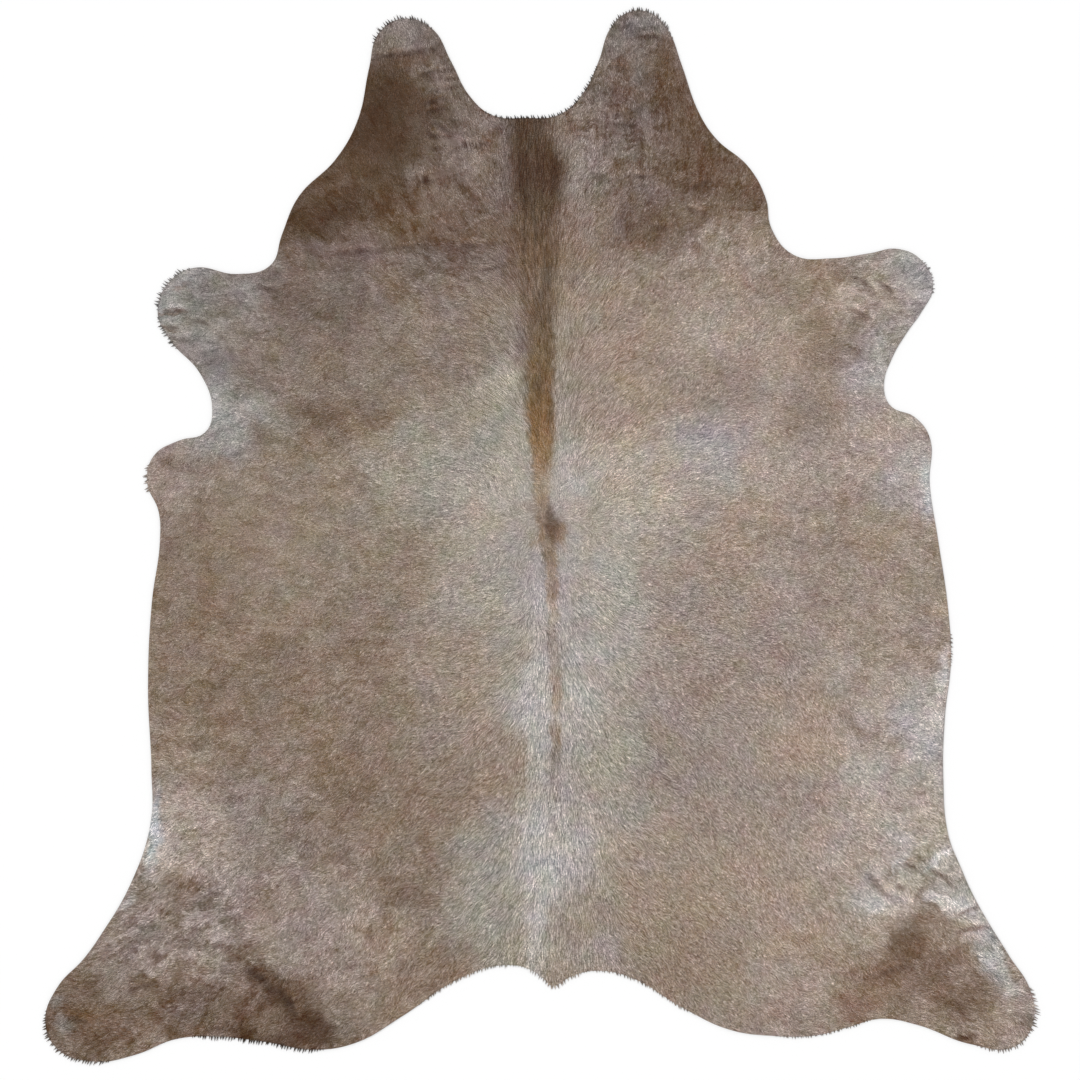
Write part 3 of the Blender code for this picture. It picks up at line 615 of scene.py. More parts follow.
def put_in_mesh(name, places, corners, sorts=None):
    """A mesh object at the origin from whole arrays: places (n, 3) and triangle corners
    (m, 3), with each triangle's finish number where there are several finishes."""
    mesh = bpy.data.meshes.new(name)
    mesh.vertices.add(len(places))
    mesh.vertices.foreach_set("co", np.ascontiguousarray(places, dtype=np.float32).ravel())
    mesh.loops.add(corners.size)
    mesh.loops.foreach_set("vertex_index", np.ascontiguousarray(corners, dtype=np.int32).ravel())
    mesh.polygons.add(len(corners))
    mesh.polygons.foreach_set("loop_start", np.arange(0, corners.size, 3, dtype=np.int32))
    if sorts is not None:
        mesh.polygons.foreach_set("material_index", sorts.astype(np.int32))
    mesh.update(calc_edges=True)
    piece = bpy.data.objects.new(name, mesh)
    bpy.context.scene.collection.objects.link(piece)
    return piece


COLOUR_NAME = "coat_colour"


def paint_points(piece, colours):
    """A colour for every point of the piece, kept as its attribute of the coat's colour."""
    attribute = piece.data.color_attributes.new(COLOUR_NAME, "FLOAT_COLOR", "POINT")
    with_alpha = np.column_stack([colours, np.ones(len(colours))])
    attribute.data.foreach_set("color", with_alpha.astype(np.float32).ravel())


def bake_map(piece, flat):
    """The piece's own flat map, one place for each triangle corner."""
    layer = piece.data.uv_layers.new(name="OFBake")
    layer.uv.foreach_set("vector", flat.astype(np.float32).ravel())


def ring_bands(rings, columns):
    """Triangles between neighbouring rings, each of `columns` points counted from point 1 on.
    A ring runs counter-clockwise, and each next one lies further out, lower or under it."""
    ring, column = np.meshgrid(np.arange(rings - 1), np.arange(columns), indexing="ij")
    after = (column + 1) % columns
    a, b = 1 + ring * columns + column, 1 + ring * columns + after
    c, d = b + columns, a + columns
    return np.stack([np.stack([c, b, a], -1), np.stack([d, c, a], -1)], axis=2).reshape(-1, 3)


ON_HAIR_SIDE, ON_CUT_EDGE, ON_FLESH_SIDE = 0, 1, 2      # each triangle's finish


def skin_mesh():
    """The whole skin as one closed surface, P(u, v) = hub + v (edge(u) - hub): rings from the
    hub out over the hair side, down the cut edge's profile and back to the hub on the flesh
    side. Each ring keeps the same bearings."""
    edge = closed_curve(KNIFE_LINE, np.arange(EDGE_COLUMNS) / EDGE_COLUMNS)
    ahead = np.roll(edge, -1, axis=0) - np.roll(edge, 1, axis=0)
    inward = unit(np.column_stack([-ahead[:, 1], ahead[:, 0]]))
    top = HUB + TOP_ROWS[:, None, None] * (edge - HUB)
    height = hair_side(top[..., 0].ravel(), top[..., 1].ravel()).reshape(top.shape[:2])
    top = np.concatenate([top, height[..., None]], axis=-1)
    rim = edge + EDGE_PROFILE[:, :1, None] * inward
    rim_height = np.broadcast_to(EDGE_PROFILE[:, 1, None, None], rim.shape[:2] + (1,))
    rim = np.concatenate([rim, rim_height], axis=-1)
    flesh = HUB + FLESH_ROWS[:, None, None] * (edge - HUB)
    flesh = np.concatenate([flesh, np.zeros(flesh.shape[:2] + (1,))], axis=-1)
    rings = np.concatenate([top, rim, flesh])
    hub_top = np.array(((*HUB, hair_side(HUB[:1], HUB[1:])[0]),))
    places = np.concatenate([hub_top, rings.reshape(-1, 3), ((*HUB, 0.0),)])
    columns, last = np.arange(EDGE_COLUMNS), len(places) - 1
    after = (columns + 1) % EDGE_COLUMNS
    crown = np.column_stack([np.zeros_like(columns), 1 + columns, 1 + after])
    bands = ring_bands(len(rings), EDGE_COLUMNS)
    start = last - EDGE_COLUMNS
    base = np.column_stack([np.full_like(columns, last), start + after, start + columns])
    corners = np.concatenate([crown, bands, base])
    row = np.repeat(np.arange(len(rings) - 1), 2 * EDGE_COLUMNS)
    below = np.where(row < len(top) + len(rim) - 1, ON_CUT_EDGE, ON_FLESH_SIDE)
    sorts = np.concatenate([np.full(EDGE_COLUMNS, ON_HAIR_SIDE),
                            np.where(row < len(top), ON_HAIR_SIDE, below),
                            np.full(EDGE_COLUMNS, ON_FLESH_SIDE)])
    return places, corners, sorts


# The skin's flat map: the scale of each side's plan per metre, how far its corner lies from
# the rug's middle and where the flesh side starts, then the cut edge's strip: its width,
# where its foot lies and its scale per metre of height.
HAIR_SIDE_SCALE, FLESH_SIDE_SCALE, PLAN_REACH = 0.29, 0.15, 1.12
FLESH_SIDE_START = (0.65, 0.0)
STRIP_WIDTH, STRIP_FOOT, STRIP_SCALE = 0.99, 0.75, 40


def skin_flat_map(places, corners, sorts):
    """The hair side's plan at one end of the map, the flesh side's beside it and the cut edge
    as a strip above them: the share of the way round, and the height. A triangle that lies
    across the start of the round is put at its end."""
    plan = places[corners][..., :2]
    hair = (plan + PLAN_REACH) * HAIR_SIDE_SCALE
    flesh = (plan + PLAN_REACH) * FLESH_SIDE_SCALE + FLESH_SIDE_START
    spoke = plan - HUB
    bearing = np.arctan2(spoke[..., 1], spoke[..., 0]) / (2 * np.pi) + 0.5
    bearing = np.where(bearing.max(axis=1, keepdims=True) - bearing > 0.5, bearing + 1, bearing)
    height = STRIP_FOOT + places[corners][..., 2] * STRIP_SCALE
    strip = np.stack([bearing * STRIP_WIDTH, height], axis=-1)
    which = sorts[:, None, None]
    return np.where(which == ON_HAIR_SIDE, hair, np.where(which == ON_CUT_EDGE, strip, flesh))


class Wire:
    """One output in a material's node tree. + - and * between wires and numbers, either way
    round, add Math nodes, so that a finish's numbers are written as plain sums."""

    def __init__(self, tree, socket):
        self.tree, self.socket = tree, socket

    def node(self, kind, settings=None, out=0, **sockets):
        """Any node: its type, its settings, which are set first, and its sockets' values or
        wires, by name with _ for a space, or by number after an n."""
        node = self.tree.nodes.new(kind)
        for setting, value in (settings or {}).items():
            setattr(node, setting, value)
        for name, value in sockets.items():
            key = int(name[1:]) if name[1:].isdigit() else name.replace("_", " ")
            if isinstance(value, Wire):
                self.tree.links.new(value.socket, node.inputs[key])
            else:
                node.inputs[key].default_value = value
        return Wire(self.tree, node.outputs[out])

    def maths(self, operation, first, second):
        """A Math node on two wires or numbers."""
        return self.node("ShaderNodeMath", {"operation": operation}, n0=first, n1=second)

    def __add__(self, other):
        return self.maths("ADD", self, other)

    def __sub__(self, other):
        return self.maths("SUBTRACT", self, other)

    def __rsub__(self, other):
        return self.maths("SUBTRACT", other, self)

    def __mul__(self, other):
        return self.maths("MULTIPLY", self, other)

    __radd__, __rmul__ = __add__, __mul__

    def place(self):
        """Where on the piece a point is, in metres."""
        return self.node("ShaderNodeTexCoord", out="Object")

    def tinted(self, shade):
        """This colour times a number that varies."""
        return self.node("ShaderNodeVectorMath", {"operation": "SCALE"}, n0=self, Scale=shade)

    def noise(self, scale, detail, roughness=0.5):
        """Noise about 0.5 at this place, at that scale per metre."""
        return self.node("ShaderNodeTexNoise", Vector=self, Scale=scale, Detail=detail,
                         Roughness=roughness)

    def between(self, first, second):
        """The colour that lies this share of the way from the first to the second."""
        return self.node("ShaderNodeMix", {"data_type": "RGBA"}, 2, n0=self, n6=first, n7=second)

    def relief(self, strength, rise):
        """This height as a bump, from its strength and its greatest rise in metres."""
        return self.node("ShaderNodeBump", Strength=strength, Distance=rise, Height=self)


def finish(name, **constants):
    """A new material with one Principled shader, its even values set on their own sockets.
    With it come a wire to make nodes from and a function that joins a wire to a socket."""
    material = bpy.data.materials.new(name)
    material.use_nodes = True
    shader = material.node_tree.nodes["Principled BSDF"]
    for socket, value in constants.items():
        shader.inputs[socket.replace("_", " ")].default_value = value
    maker = Wire(material.node_tree, None)

    def join(socket, wire):
        material.node_tree.links.new(wire.socket, shader.inputs[socket])

    return material, maker, join


def hair_side_finish():
    """The skin between the locks: the coat's own colour with painted shade, as if in the locks'
    shadow, deeper where the fine grain is low.
    """
    material, maker, join = finish("hair_side", Roughness=0.8, Specular_IOR_Level=0.2)
    colour = maker.node("ShaderNodeAttribute", {"attribute_name": COLOUR_NAME}, "Color")
    grain = maker.place().noise(scale=900.0, detail=3.0)
    # Painted shade: from half the coat's colour to all of it, by the grain.
    join("Base Color", colour.tinted(0.5 + 0.5 * grain))
    join("Normal", grain.relief(strength=0.5, rise=0.4 * MM))
    return material


SUEDE = (*daylight((196, 178, 152)), 1.0)
SUEDE_SHADE = (*daylight((168, 147, 120)), 1.0)
CUT_EDGE = (*daylight((104, 86, 70)), 1.0)
CUT_EDGE_DARK = (*daylight((62, 50, 41)), 1.0)
LAYERS_PER_METRE = (60.0, 60.0, 1500.0)


def flesh_side_finish():
    """Buffed suede: pale tan, clouded, with short raised fibres."""
    material, maker, join = finish("flesh_side_suede", Specular_IOR_Level=0.2, Sheen_Weight=0.15)
    cloud = maker.place().noise(scale=7.0, detail=5.0, roughness=0.6)
    fibre = maker.place().noise(scale=420.0, detail=4.0, roughness=0.6)
    join("Base Color", (0.25 * fibre + 0.8 * cloud).between(SUEDE_SHADE, SUEDE))
    join("Roughness", 0.8 + 0.15 * fibre)
    join("Normal", (fibre + 0.5 * cloud).relief(strength=0.6, rise=0.6 * MM))
    return material


def cut_edge_finish():
    """The leather's core at the knife cut: brown, darker in layers along it."""
    material, maker, join = finish("cut_edge", Roughness=0.75, Specular_IOR_Level=0.3)
    flattened = maker.node("ShaderNodeMapping", Vector=maker.place(), Scale=LAYERS_PER_METRE)
    layers = flattened.noise(scale=1.0, detail=3.0)
    join("Base Color", layers.between(CUT_EDGE_DARK, CUT_EDGE))
    join("Normal", layers.relief(strength=0.5, rise=0.3 * MM))
    return material


skin_places, skin_corners, skin_sorts = skin_mesh()
skin = put_in_mesh("skin", skin_places, skin_corners, skin_sorts)
paint_points(skin, coat_colour(skin_places[:, 0], skin_places[:, 1]))
bake_map(skin, skin_flat_map(skin_places, skin_corners, skin_sorts))
skin.data.shade_smooth()
for material in (hair_side_finish(), cut_edge_finish(), flesh_side_finish()):
    skin.data.materials.append(material)
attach(skin, "root")
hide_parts("hide")

# ==========================================================================================
# THE COAT
# The cow's own short hair, growing out of the skin and lying flat the way it grew: outwards
# from a whorl on the backbone, forwards to the neck and backwards to the tail. Hairs lie
# together in small pointed locks, each over the roots of the next, like shingles.
# ==========================================================================================
LOCK_PITCH = 1.91 * MM
LOCK_LENGTH, LOCK_WIDTH, LOCK_LIFT = 18 * MM, 1.25 * MM, 2.0 * MM
LOCK_LEAN = 0.35 * MM             # how far a root's sides may stand above and below its middle
ROOT_DEPTH = 0.2 * MM             # of a root in the leather
SHORTEST_SHARE = 0.1              # of its length: a lock that is trimmed shorter is left out
COLOURED_AT = 0.4                 # of the length from the root, where a lock takes its colour

# The field in which roots are sown, how far roots and tips keep inside the knife's line,
# how often trimming halves, and the share of its length at which a lock counts as whole.
FIELD_HALF_WIDTH, FIELD_HALF_LENGTH = 1.06, 1.13
ROOT_INSET, TIP_INSET = 0.8 * MM, 0.2 * MM
HALVINGS, NEARLY_WHOLE = 7, 0.98

# By chance: a lock's size, lift and width, and its own share of the growth's stray.
SIZE_RANGE, LIFT_RANGE, WIDTH_RANGE = (0.72, 1.28), (0.6, 1.4), (0.75, 1.25)
LOCK_STRAY = 0.5
LOCK_SEED, SWIRL_SEED, STREAK_SEED = 7, 51, 61

# The way the hair lies, at (x, y) in millimetres: its bearing in degrees, 0 to the right
# and 90 to the neck. About half of these bearings were not judged by eye either: a program
# measured them in the photo.
COMBING = {
    "whorl": (
        (12, 68, 90), (-25, 58, 135), (49, 58, 45), (-40, 34, 175), (64, 34, 5), (-25, 10, 222),
        (49, 10, -42), (12, -8, -90)),
    "along the backbone": (
        (8, 100, 95), (0, 190, 105), (0, 300, 100), (0, 420, 100), (-4, 540, 93), (-6, 660, 88),
        (-6, 780, 86), (-6, 870, 88), (10, -80, -80), (5, -160, -75), (5, -260, -82),
        (0, -390, -94), (0, -520, -95), (5, -660, -92), (5, -800, -98), (30, -920, -88)),
    "beside the backbone, in front": (
        (-42, 140, 122), (-42, 240, 135), (-42, 350, 122), (-42, 450, 130), (-42, 560, 110),
        (-45, 700, 98), (42, 140, 78), (42, 250, 80), (42, 350, 75), (42, 450, 82), (42, 560, 78),
        (45, 700, 74), (105, 140, 40), (105, 250, 42), (105, 350, 44), (105, 450, 48),
        (105, 560, 56), (105, 660, 66), (105, 770, 62), (-105, 140, 154), (-105, 245, 156),
        (-105, 350, 156), (-105, 455, 155), (-105, 560, 163), (-105, 664, 138)),
    "beside the backbone, behind": (
        (-42, -80, 205), (-42, -155, 216), (-42, -260, 226), (-42, -390, 240), (-42, -515, 242),
        (-42, -640, 255), (-42, -770, 242), (42, -80, -58), (42, -155, -65), (42, -260, -70),
        (42, -390, -77), (42, -515, -77), (42, -640, -86), (42, -770, -88), (105, -155, -38),
        (105, -260, -44), (105, -390, -60), (105, -515, -58), (105, -640, -64), (105, -770, -76),
        (-105, -155, 190), (-105, -260, 188), (-105, -390, 212), (-105, -515, 212),
        (-105, -640, 220), (-105, -770, 216)),
    "neck": (
        (-100, 820, 100), (-170, 900, 97), (-284, 874, 105), (-284, 1042, 98), (-420, 760, 125),
        (-260, 640, 118), (100, 820, 70), (189, 916, 84), (210, 1063, 80), (336, 811, 72),
        (300, 650, 50)),
    "left shoulder": (
        (-210, 140, 172), (-210, 245, 173), (-210, 350, 168), (-210, 455, 172), (-210, 560, 180),
        (-340, 200, 180), (-340, 350, 183), (-340, 455, 188), (-460, 250, 192), (-460, 455, 194),
        (-590, 140, 187), (-590, 245, 176), (-504, 560, 176), (-470, 640, 148)),
    "left fore shank": (
        (-672, 475, 175), (-777, 454, 184), (-760, 380, 192), (-780, 530, 162), (-600, 350, 174)),
    "right shoulder": (
        (210, 140, 25), (210, 245, 30), (210, 350, 30), (210, 455, 30), (210, 560, 42),
        (336, 140, 13), (336, 245, 22), (336, 350, 21), (336, 455, 23), (460, 140, -7),
        (460, 245, -8), (460, 455, 27), (590, 140, -9), (590, 245, -26), (590, 350, -22),
        (714, 140, -4), (714, 245, -32), (460, 640, 45)),
    "right fore shank": ((600, 455, 0), (693, 470, 6), (788, 559, 22), (760, 400, -5)),
    "left flank": (
        (-714, 139, 205), (-756, -50, 195), (-714, -155, 182), (-590, -155, 187), (-460, -155, 198),
        (-340, -155, 196), (-210, -155, 190), (-250, 30, 184), (-460, 30, 190), (-590, -260, 195),
        (-340, -260, 200), (-210, -260, 191), (-700, -400, 186), (-460, -390, 213),
        (-340, -390, 210), (-210, -390, 198), (-700, -520, 186), (-560, -560, 196),
        (-340, -515, 214), (-210, -515, 207)),
    "left rump": (
        (-714, -640, 212), (-590, -640, 200), (-462, -640, 213), (-336, -640, 220),
        (-210, -640, 215), (-336, -764, 225), (-210, -764, 214), (-190, -870, 213),
        (-400, -960, 215)),
    "left hind shank": (
        (-714, -953, 198), (-880, -900, 200), (-966, -1037, 200), (-1010, -980, 192),
        (-600, -1030, 213), (-590, -850, 208)),
    "right flank": (
        (120, -60, -22), (210, 30, 8), (330, 29, 0), (560, 30, -5), (210, -155, -18),
        (336, -155, -10), (462, -155, -20), (590, -155, -23), (714, -155, -17), (800, -60, -18),
        (210, -260, -24), (336, -260, -18), (462, -260, -25), (714, -260, -17), (210, -390, -37),
        (336, -390, -34), (462, -390, -38), (590, -390, -39), (714, -390, -25), (210, -515, -35),
        (336, -515, -42), (462, -515, -48), (714, -515, -36)),
    "right rump": (
        (210, -640, -37), (336, -640, -43), (462, -640, -45), (590, -640, -50), (714, -640, -34),
        (210, -764, -42), (336, -764, -42), (462, -764, -46), (210, -870, -52), (336, -890, -38),
        (480, -890, -48)),
    "right hind shank": (
        (714, -764, -40), (714, -890, -40), (860, -790, -42), (590, -974, -28), (800, -974, -16),
        (924, -974, -25), (1015, -960, -20), (1010, -1040, -38), (850, -1040, -32)),
}
COMBING_SOFTNESS = 30 * MM
SWIRLS = ((60 * MM, 0.7), (16 * MM, 1.3))       # size, and the share of the growth's stray
STREAK_WIDTH, STREAK_STEPS, STREAK_STEP = 2.0 * MM, 7, 3 * MM
STREAK_DEPTH, LOCK_SHADE_SPREAD = 0.2, 0.38
# Painted shade along the trimmed edge, where the rug meets the floor.
RIM_SHADE, RIM_SHADE_WIDTH = 0.2, 2.5 * MM      # how much darker the rim is, and how far in

COMBING_CHART = charted([(x, y, (np.cos(np.radians(bearing)), np.sin(np.radians(bearing))))
                         for places in COMBING.values() for x, y, bearing in places],
                        COMBING_SOFTNESS)


def hair_bearing(x, y, stray):
    """The charted direction as an angle, turned by swirls as far as the hair strays there."""
    way = read_chart(COMBING_CHART, x, y)
    bearing = np.arctan2(way[..., 1], way[..., 0])
    for seed, (size, share) in enumerate(SWIRLS):
        bearing = bearing + share * stray * mottle(x, y, size, SWIRL_SEED + seed)
    return bearing


def streaks(x, y, bearing):
    """Long soft streaks along the hair, about -1 to 1: fine mottling added up at steps along
    the hair's direction, over the root of their number."""
    steps = (np.arange(STREAK_STEPS) - STREAK_STEPS // 2) * STREAK_STEP
    total = sum(mottle(x + step * np.cos(bearing), y + step * np.sin(bearing), STREAK_WIDTH,
                       STREAK_SEED) for step in steps)
    return total / np.sqrt(STREAK_STEPS)


def trimmed(x, y, length, bearing):
    """The length that keeps each lock's tip inside the knife's line, found by halving."""
    low, high = np.zeros_like(length), length.copy()
    for _ in range(HALVINGS):
        middle = (low + high) / 2
        inside = read_chart(RIM_CHART, x + middle * np.cos(bearing),
                            y + middle * np.sin(bearing)) > TIP_INSET
        low, high = np.where(inside, middle, low), np.where(inside, high, middle)
    return np.where(low > NEARLY_WHOLE * length, length, low)


def lock_mesh(root, tip, width, lean):
    """Locks as pointed blades of one triangle: the root's right side, the tip, the root's
    left side. The root is as wide as the lock, its sides raised and lowered by the lean."""
    run = (tip - root)[:, :2]
    aside = unit(np.column_stack([-run[:, 1], run[:, 0]]))
    offset = np.column_stack([aside * width[:, None] / 2, lean])
    places = np.stack([root - offset, tip, root + offset], axis=1).reshape(-1, 3)
    return places, np.arange(len(places)).reshape(-1, 3)


def lock_flat_map(count):
    """Half a square cell of the map for each lock, two locks to a cell."""
    side = int(np.ceil(np.sqrt(count / 2)))
    number = np.arange(count)
    cell = np.stack([number // 2 % side, number // 2 // side], axis=-1)
    corner = np.array((((0.05, 0.05), (0.85, 0.05), (0.05, 0.85)),
                       ((0.95, 0.95), (0.15, 0.95), (0.95, 0.15))))
    return (cell[:, None, :] + corner[number % 2]) / side


def grown_locks():
    """Root, tip, width, lean and colour of every lock: roots on a lattice inside the knife's line,
    each moved by up to half the pitch, with locks along the combing whose size, lift, width and
    lean vary. A lock is made lighter or darker by chance and by its streak, and a lock beside the
    rim gets painted shade."""
    chance = np.random.default_rng(LOCK_SEED)
    x, y = np.meshgrid(np.arange(-FIELD_HALF_WIDTH, FIELD_HALF_WIDTH, LOCK_PITCH),
                       np.arange(-FIELD_HALF_LENGTH, FIELD_HALF_LENGTH, LOCK_PITCH))
    x = (x + chance.uniform(-0.5, 0.5, x.shape) * LOCK_PITCH).ravel()
    y = (y + chance.uniform(-0.5, 0.5, y.shape) * LOCK_PITCH).ravel()
    inside = read_chart(RIM_CHART, x, y) > ROOT_INSET
    x, y = x[inside], y[inside]
    size = chance.uniform(*SIZE_RANGE, len(x))
    growth = read_chart(GROWTH_CHART, x, y)
    stray = np.radians(growth[:, 1])
    bearing = hair_bearing(x, y, stray) + LOCK_STRAY * stray * chance.normal(size=len(x))
    full = LOCK_LENGTH * growth[:, 0] * size
    length = trimmed(x, y, full, bearing)
    kept = length > SHORTEST_SHARE * full
    x, y, bearing, full, length = (v[kept] for v in (x, y, bearing, full, length))
    lift = LOCK_LIFT * chance.uniform(*LIFT_RANGE, len(x)) * np.sqrt(length / full)
    tip_x, tip_y = x + length * np.cos(bearing), y + length * np.sin(bearing)
    root = np.column_stack([x, y, hair_side(x, y) - ROOT_DEPTH])
    tip = np.column_stack([tip_x, tip_y, hair_side(tip_x, tip_y) + lift])
    width = LOCK_WIDTH * chance.uniform(*WIDTH_RANGE, len(x))
    lean = LOCK_LEAN * chance.uniform(-1, 1, len(x))
    seen_x, seen_y = x + COLOURED_AT * (tip_x - x), y + COLOURED_AT * (tip_y - y)
    spread = LOCK_SHADE_SPREAD * growth[kept, 3]
    shade = np.exp(spread * chance.normal(size=len(x)) - spread**2 / 2)
    shade += STREAK_DEPTH * growth[kept, 0] * streaks(seen_x, seen_y, bearing)
    # Painted shade for the locks beside the trimmed edge.
    rim = read_chart(RIM_CHART, (x + tip_x) / 2, (y + tip_y) / 2)
    shade *= 1 - RIM_SHADE * np.exp(-((rim / RIM_SHADE_WIDTH) ** 2))
    return root, tip, width, lean, shaded(coat_colour(seen_x, seen_y), shade)


FLECK_CONTRAST = 3.8


def coat_finish():
    """Hair: each lock's own colour times hair-fine flecks, which are 1 in the middle of their
    range, with a soft gloss that varies."""
    material, maker, join = finish("coat_hair", Specular_IOR_Level=0.15)
    colour = maker.node("ShaderNodeAttribute", {"attribute_name": COLOUR_NAME}, "Color")
    fleck = maker.place().noise(scale=450.0, detail=3.0, roughness=0.65)
    join("Base Color", colour.tinted(FLECK_CONTRAST * fleck - (FLECK_CONTRAST / 2 - 1)))
    join("Roughness", 0.5 + 0.25 * maker.place().noise(scale=60.0, detail=3.0))
    join("Normal", fleck.relief(strength=0.25, rise=0.2 * MM))
    return material


def piece_of_locks(name, root, tip, width, lean, colours, material):
    """Locks as one piece, with a colour for each lock's right root, tip and left root."""
    piece = put_in_mesh(name, *lock_mesh(root, tip, width, lean))
    paint_points(piece, colours.reshape(-1, 3))
    bake_map(piece, lock_flat_map(len(root)))
    piece.data.shade_flat()
    piece.data.materials.append(material)
    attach(piece, "root")
    return piece


# A lock carries painted light: a painted highlight at its tip, and painted shade at its root, where
# the locks over it shade it, darkest on the root's left side, as if turned from the light. The coat
# is made in strips from left to right, with about as many locks in each.
LOCK_PAINTED_SHADES = np.array(((0.62, 1.2, 0.46),))      # right root, tip, left root
STRIPS = ("coat_left_flank", "coat_left_side", "coat_backbone", "coat_right_side",
          "coat_right_flank")

*locks, colour = grown_locks()
coat_hair = coat_finish()
borders = np.quantile(locks[0][:, 0], np.linspace(0, 1, len(STRIPS) + 1)[1:-1])
which_strip = np.searchsorted(borders, locks[0][:, 0])
for number, name in enumerate(STRIPS):
    chosen = np.flatnonzero(which_strip == number)
    colours = shaded(colour[chosen][:, None, :], LOCK_PAINTED_SHADES)
    piece_of_locks(name, *(value[chosen] for value in locks), colours, coat_hair)

# ==========================================================================================
# THE RIM'S LOOSE HAIR
# The knife cuts the skin and not the hair, so where the hair lies outwards it reaches past the
# leather in small points, dark with painted shade: at the neck's flaps, the shanks, the belly and
# the rump.
# ==========================================================================================
RIM_HAIR_SPACING, RIM_HAIR_WIDTH, RIM_HAIR_LEAN = 6.0 * MM, 4.8 * MM, 0.3 * MM
RIM_ROOT_RISE = 0.8 * MM          # of the root above the leather, within the coat
RIM_HAIR_STRAY, CLUMP_TURN, CLUMP_SIZE = 5, 8, 14 * MM      # two turns in degrees, and a size
COMBED_SHARE, OUTWARD_SHARE = 0.55, 0.45      # of a lock's way, along the bearing and outwards
END_SHARE, END_SLOPE = 0.4, 8     # of the reach at a stretch's ends, and how fast it grows
SPACING_JITTER = 0.4
EDGE_STEP = 0.0005                # of the way round, to either side, to find the edge's run

# By chance: the share of the reach, how far back the root lies and how high the tip in
# millimetres, the share of the width, and how much one lock differs from the next.
OUT_RANGE, BACK_RANGE, TOP_RANGE, BREADTH_RANGE = (0.5, 1.1), (2.5, 4), (1.2, 3.2), (0.8, 1.2)
RIM_HAIR_SPREAD = 0.2
# Painted shade on each loose lock, darkest at its tip, which sinks towards the floor.
RIM_HAIR_PAINTED_SHADES = np.array((1.0, 0.75, 0.9))      # right root, tip, left root
RIM_HAIR_SEED, CLUMP_SEED = 19, 71

# Stretches of the trimmed edge with loose hair, from one (x, y) place on it to another,
# counter-clockwise: how far the hair reaches out, its bearing and its share of the coat's own
# brightness, which lays painted shade on the loose hair.
LOOSE_HAIR = {
    "left neck flap": (-225, 1070, -352, 1030, 11, 130, 0.30),
    "neck notch": (125, 985, -110, 905, 8, 118, 0.12),
    "right neck flap": (275, 1050, 145, 1060, 9, 100, 0.40),
    "left fore shank tip": (-735, 560, -803, 470, 10, 155, 0.30),
    "left fore shank underside": (-803, 460, -770, 380, 9, 195, 0.32),
    "left belly lobe": (-820, 150, -826, 90, 10, 215, 0.60),
    "left hind shank tip": (-1035, -1000, -900, -1100, 11, 222, 0.40),
    "left hind shank underside": (-730, -1055, -450, -1080, 11, 245, 0.24),
    "rump, left": (-250, -985, -40, -912, 8, 255, 0.60),
    "tail": (-40, -912, 100, -920, 9, 270, 0.70),
    "rump, right": (100, -920, 330, -1005, 7, 295, 0.65),
    "right hind shank underside": (500, -1052, 700, -1020, 5, 285, 0.50),
    "right hind shank sole": (920, -1072, 1025, -1050, 9, 285, 0.50),
    "right hind shank tip": (1025, -1050, 1035, -940, 13, 325, 0.65),
    "right flank": (850, -270, 853, -200, 6, 330, 0.50),
    "right fore shank tip": (825, 500, 800, 585, 6, 20, 0.50),
}


def nearest_share(x, y):
    """The share of the way round the knife's line at which it passes nearest a place."""
    share = np.arange(4 * len(KNIFE_LINE)) / (4 * len(KNIFE_LINE))
    gap = closed_curve(KNIFE_LINE, share) - (x * MM, y * MM)
    return share[np.argmin((gap * gap).sum(axis=1))]


def loose_locks():
    """Loose locks along each stretch, evenly spaced but for a jitter: roots a little inside
    the edge, tips past it by the stretch's reach, shorter at its ends, sinking from the
    coat's height towards the floor."""
    chance = np.random.default_rng(RIM_HAIR_SEED)
    around = np.linalg.norm(KNIFE_STEPS, axis=1).sum()
    made = []
    for x0, y0, x1, y1, reach, bearing, brightness in LOOSE_HAIR.values():
        start, end = nearest_share(x0, y0), nearest_share(x1, y1)
        span = (end - start) % 1.0
        count = int(span * around / RIM_HAIR_SPACING)
        jitter = chance.uniform(-SPACING_JITTER, SPACING_JITTER, count)
        station = (np.arange(count) + jitter) / count
        share = start + span * station
        edge = closed_curve(KNIFE_LINE, share)
        ahead = (closed_curve(KNIFE_LINE, share + EDGE_STEP)
                 - closed_curve(KNIFE_LINE, share - EDGE_STEP))
        outward = unit(np.column_stack([ahead[:, 1], -ahead[:, 0]]))
        clump = CLUMP_TURN * mottle(edge[:, 0], edge[:, 1], CLUMP_SIZE, CLUMP_SEED)
        angle = np.radians(bearing + RIM_HAIR_STRAY * chance.normal(size=count) + clump)
        combed = np.column_stack([np.cos(angle), np.sin(angle)])
        way = unit(COMBED_SHARE * combed + OUTWARD_SHARE * outward)
        fade = (np.clip(END_SLOPE * station, END_SHARE, 1)
                * np.clip(END_SLOPE * (1 - station), END_SHARE, 1))
        out = reach * MM * fade * chance.uniform(*OUT_RANGE, count)
        back = chance.uniform(*BACK_RANGE, count) * MM
        root, tip = edge - way * back[:, None], edge + way * out[:, None]
        top = chance.uniform(*TOP_RANGE, count) * MM
        width = RIM_HAIR_WIDTH * chance.uniform(*BREADTH_RANGE, count)
        lean = RIM_HAIR_LEAN * chance.uniform(-1, 1, count)
        shade = brightness * np.exp(RIM_HAIR_SPREAD * chance.normal(size=count))
        made.append((np.column_stack([root, hair_side(*root.T) + RIM_ROOT_RISE]),
                     np.column_stack([tip, top]), width, lean,
                     coat_colour(*root.T) * shade[:, None]))
    return (np.concatenate(part) for part in zip(*made))


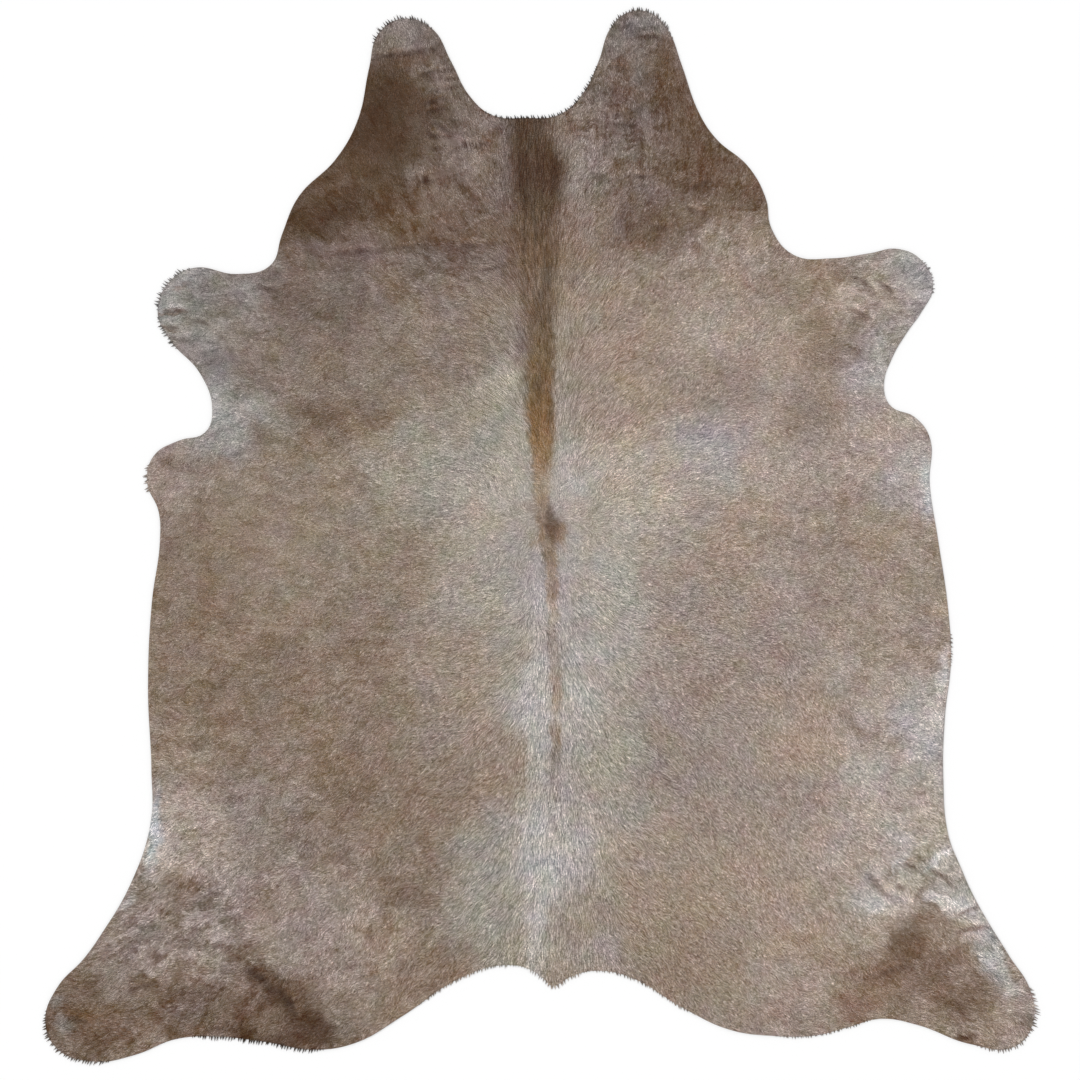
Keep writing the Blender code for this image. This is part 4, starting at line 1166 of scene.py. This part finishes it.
*loose, colour = loose_locks()
rim_hair = piece_of_locks("rim_loose_hair", *loose,
                          colour[:, None, :] * RIM_HAIR_PAINTED_SHADES[:, None], coat_hair)

# ==========================================================================================
# THE STUDIO
# A pale floor, one broad soft light and even light from all round. The camera looks
# straight down from high above, so that the rug shows as it would from a ladder.
# ==========================================================================================
FLOOR_HALF, FLOOR_DROP, FLOOR_PALE = 9.0, 0.3 * MM, (0.95, 0.95, 0.95, 1.0)
EVEN_LIGHT, WHITE = 0.62, (1.0, 1.0, 1.0, 1.0)
KEY_STRENGTH, KEY_BREADTH, KEY_TILT = 1.55, 32, (-14, -24)      # breadth and tilt in degrees
CAMERA_PLACE = (0.0, -0.0084, 5.36)
LENS, SENSOR, CLIP = 85.0, 36.0, (0.05, 60.0)

corner = FLOOR_HALF * np.array(((-1, -1, 0), (1, -1, 0), (1, 1, 0), (-1, 1, 0)))
floor = put_in_mesh("studio_floor", corner - (0, 0, FLOOR_DROP),
                    np.array(((0, 1, 2), (0, 2, 3))))
floor_material, _, _ = finish("studio_floor", Base_Color=FLOOR_PALE, Roughness=0.9,
                              Specular_IOR_Level=0.1)
floor.data.materials.append(floor_material)

world = bpy.data.worlds.new("studio")
world.use_nodes = True
world.node_tree.nodes["Background"].inputs["Color"].default_value = WHITE
world.node_tree.nodes["Background"].inputs["Strength"].default_value = EVEN_LIGHT
bpy.context.scene.world = world

key = bpy.data.lights.new("soft_key", "SUN")
key.energy, key.angle = KEY_STRENGTH, np.radians(KEY_BREADTH)
key_object = bpy.data.objects.new("soft_key", key)
key_object.rotation_euler = (*np.radians(KEY_TILT), 0.0)
bpy.context.scene.collection.objects.link(key_object)

camera = bpy.data.cameras.new("camera")
camera.lens, camera.sensor_width = LENS, SENSOR
camera.clip_start, camera.clip_end = CLIP
camera_object = bpy.data.objects.new("camera", camera)
camera_object.location = CAMERA_PLACE
bpy.context.scene.collection.objects.link(camera_object)
bpy.context.scene.camera = camera_object
bpy.context.scene.view_settings.view_transform = "Standard"
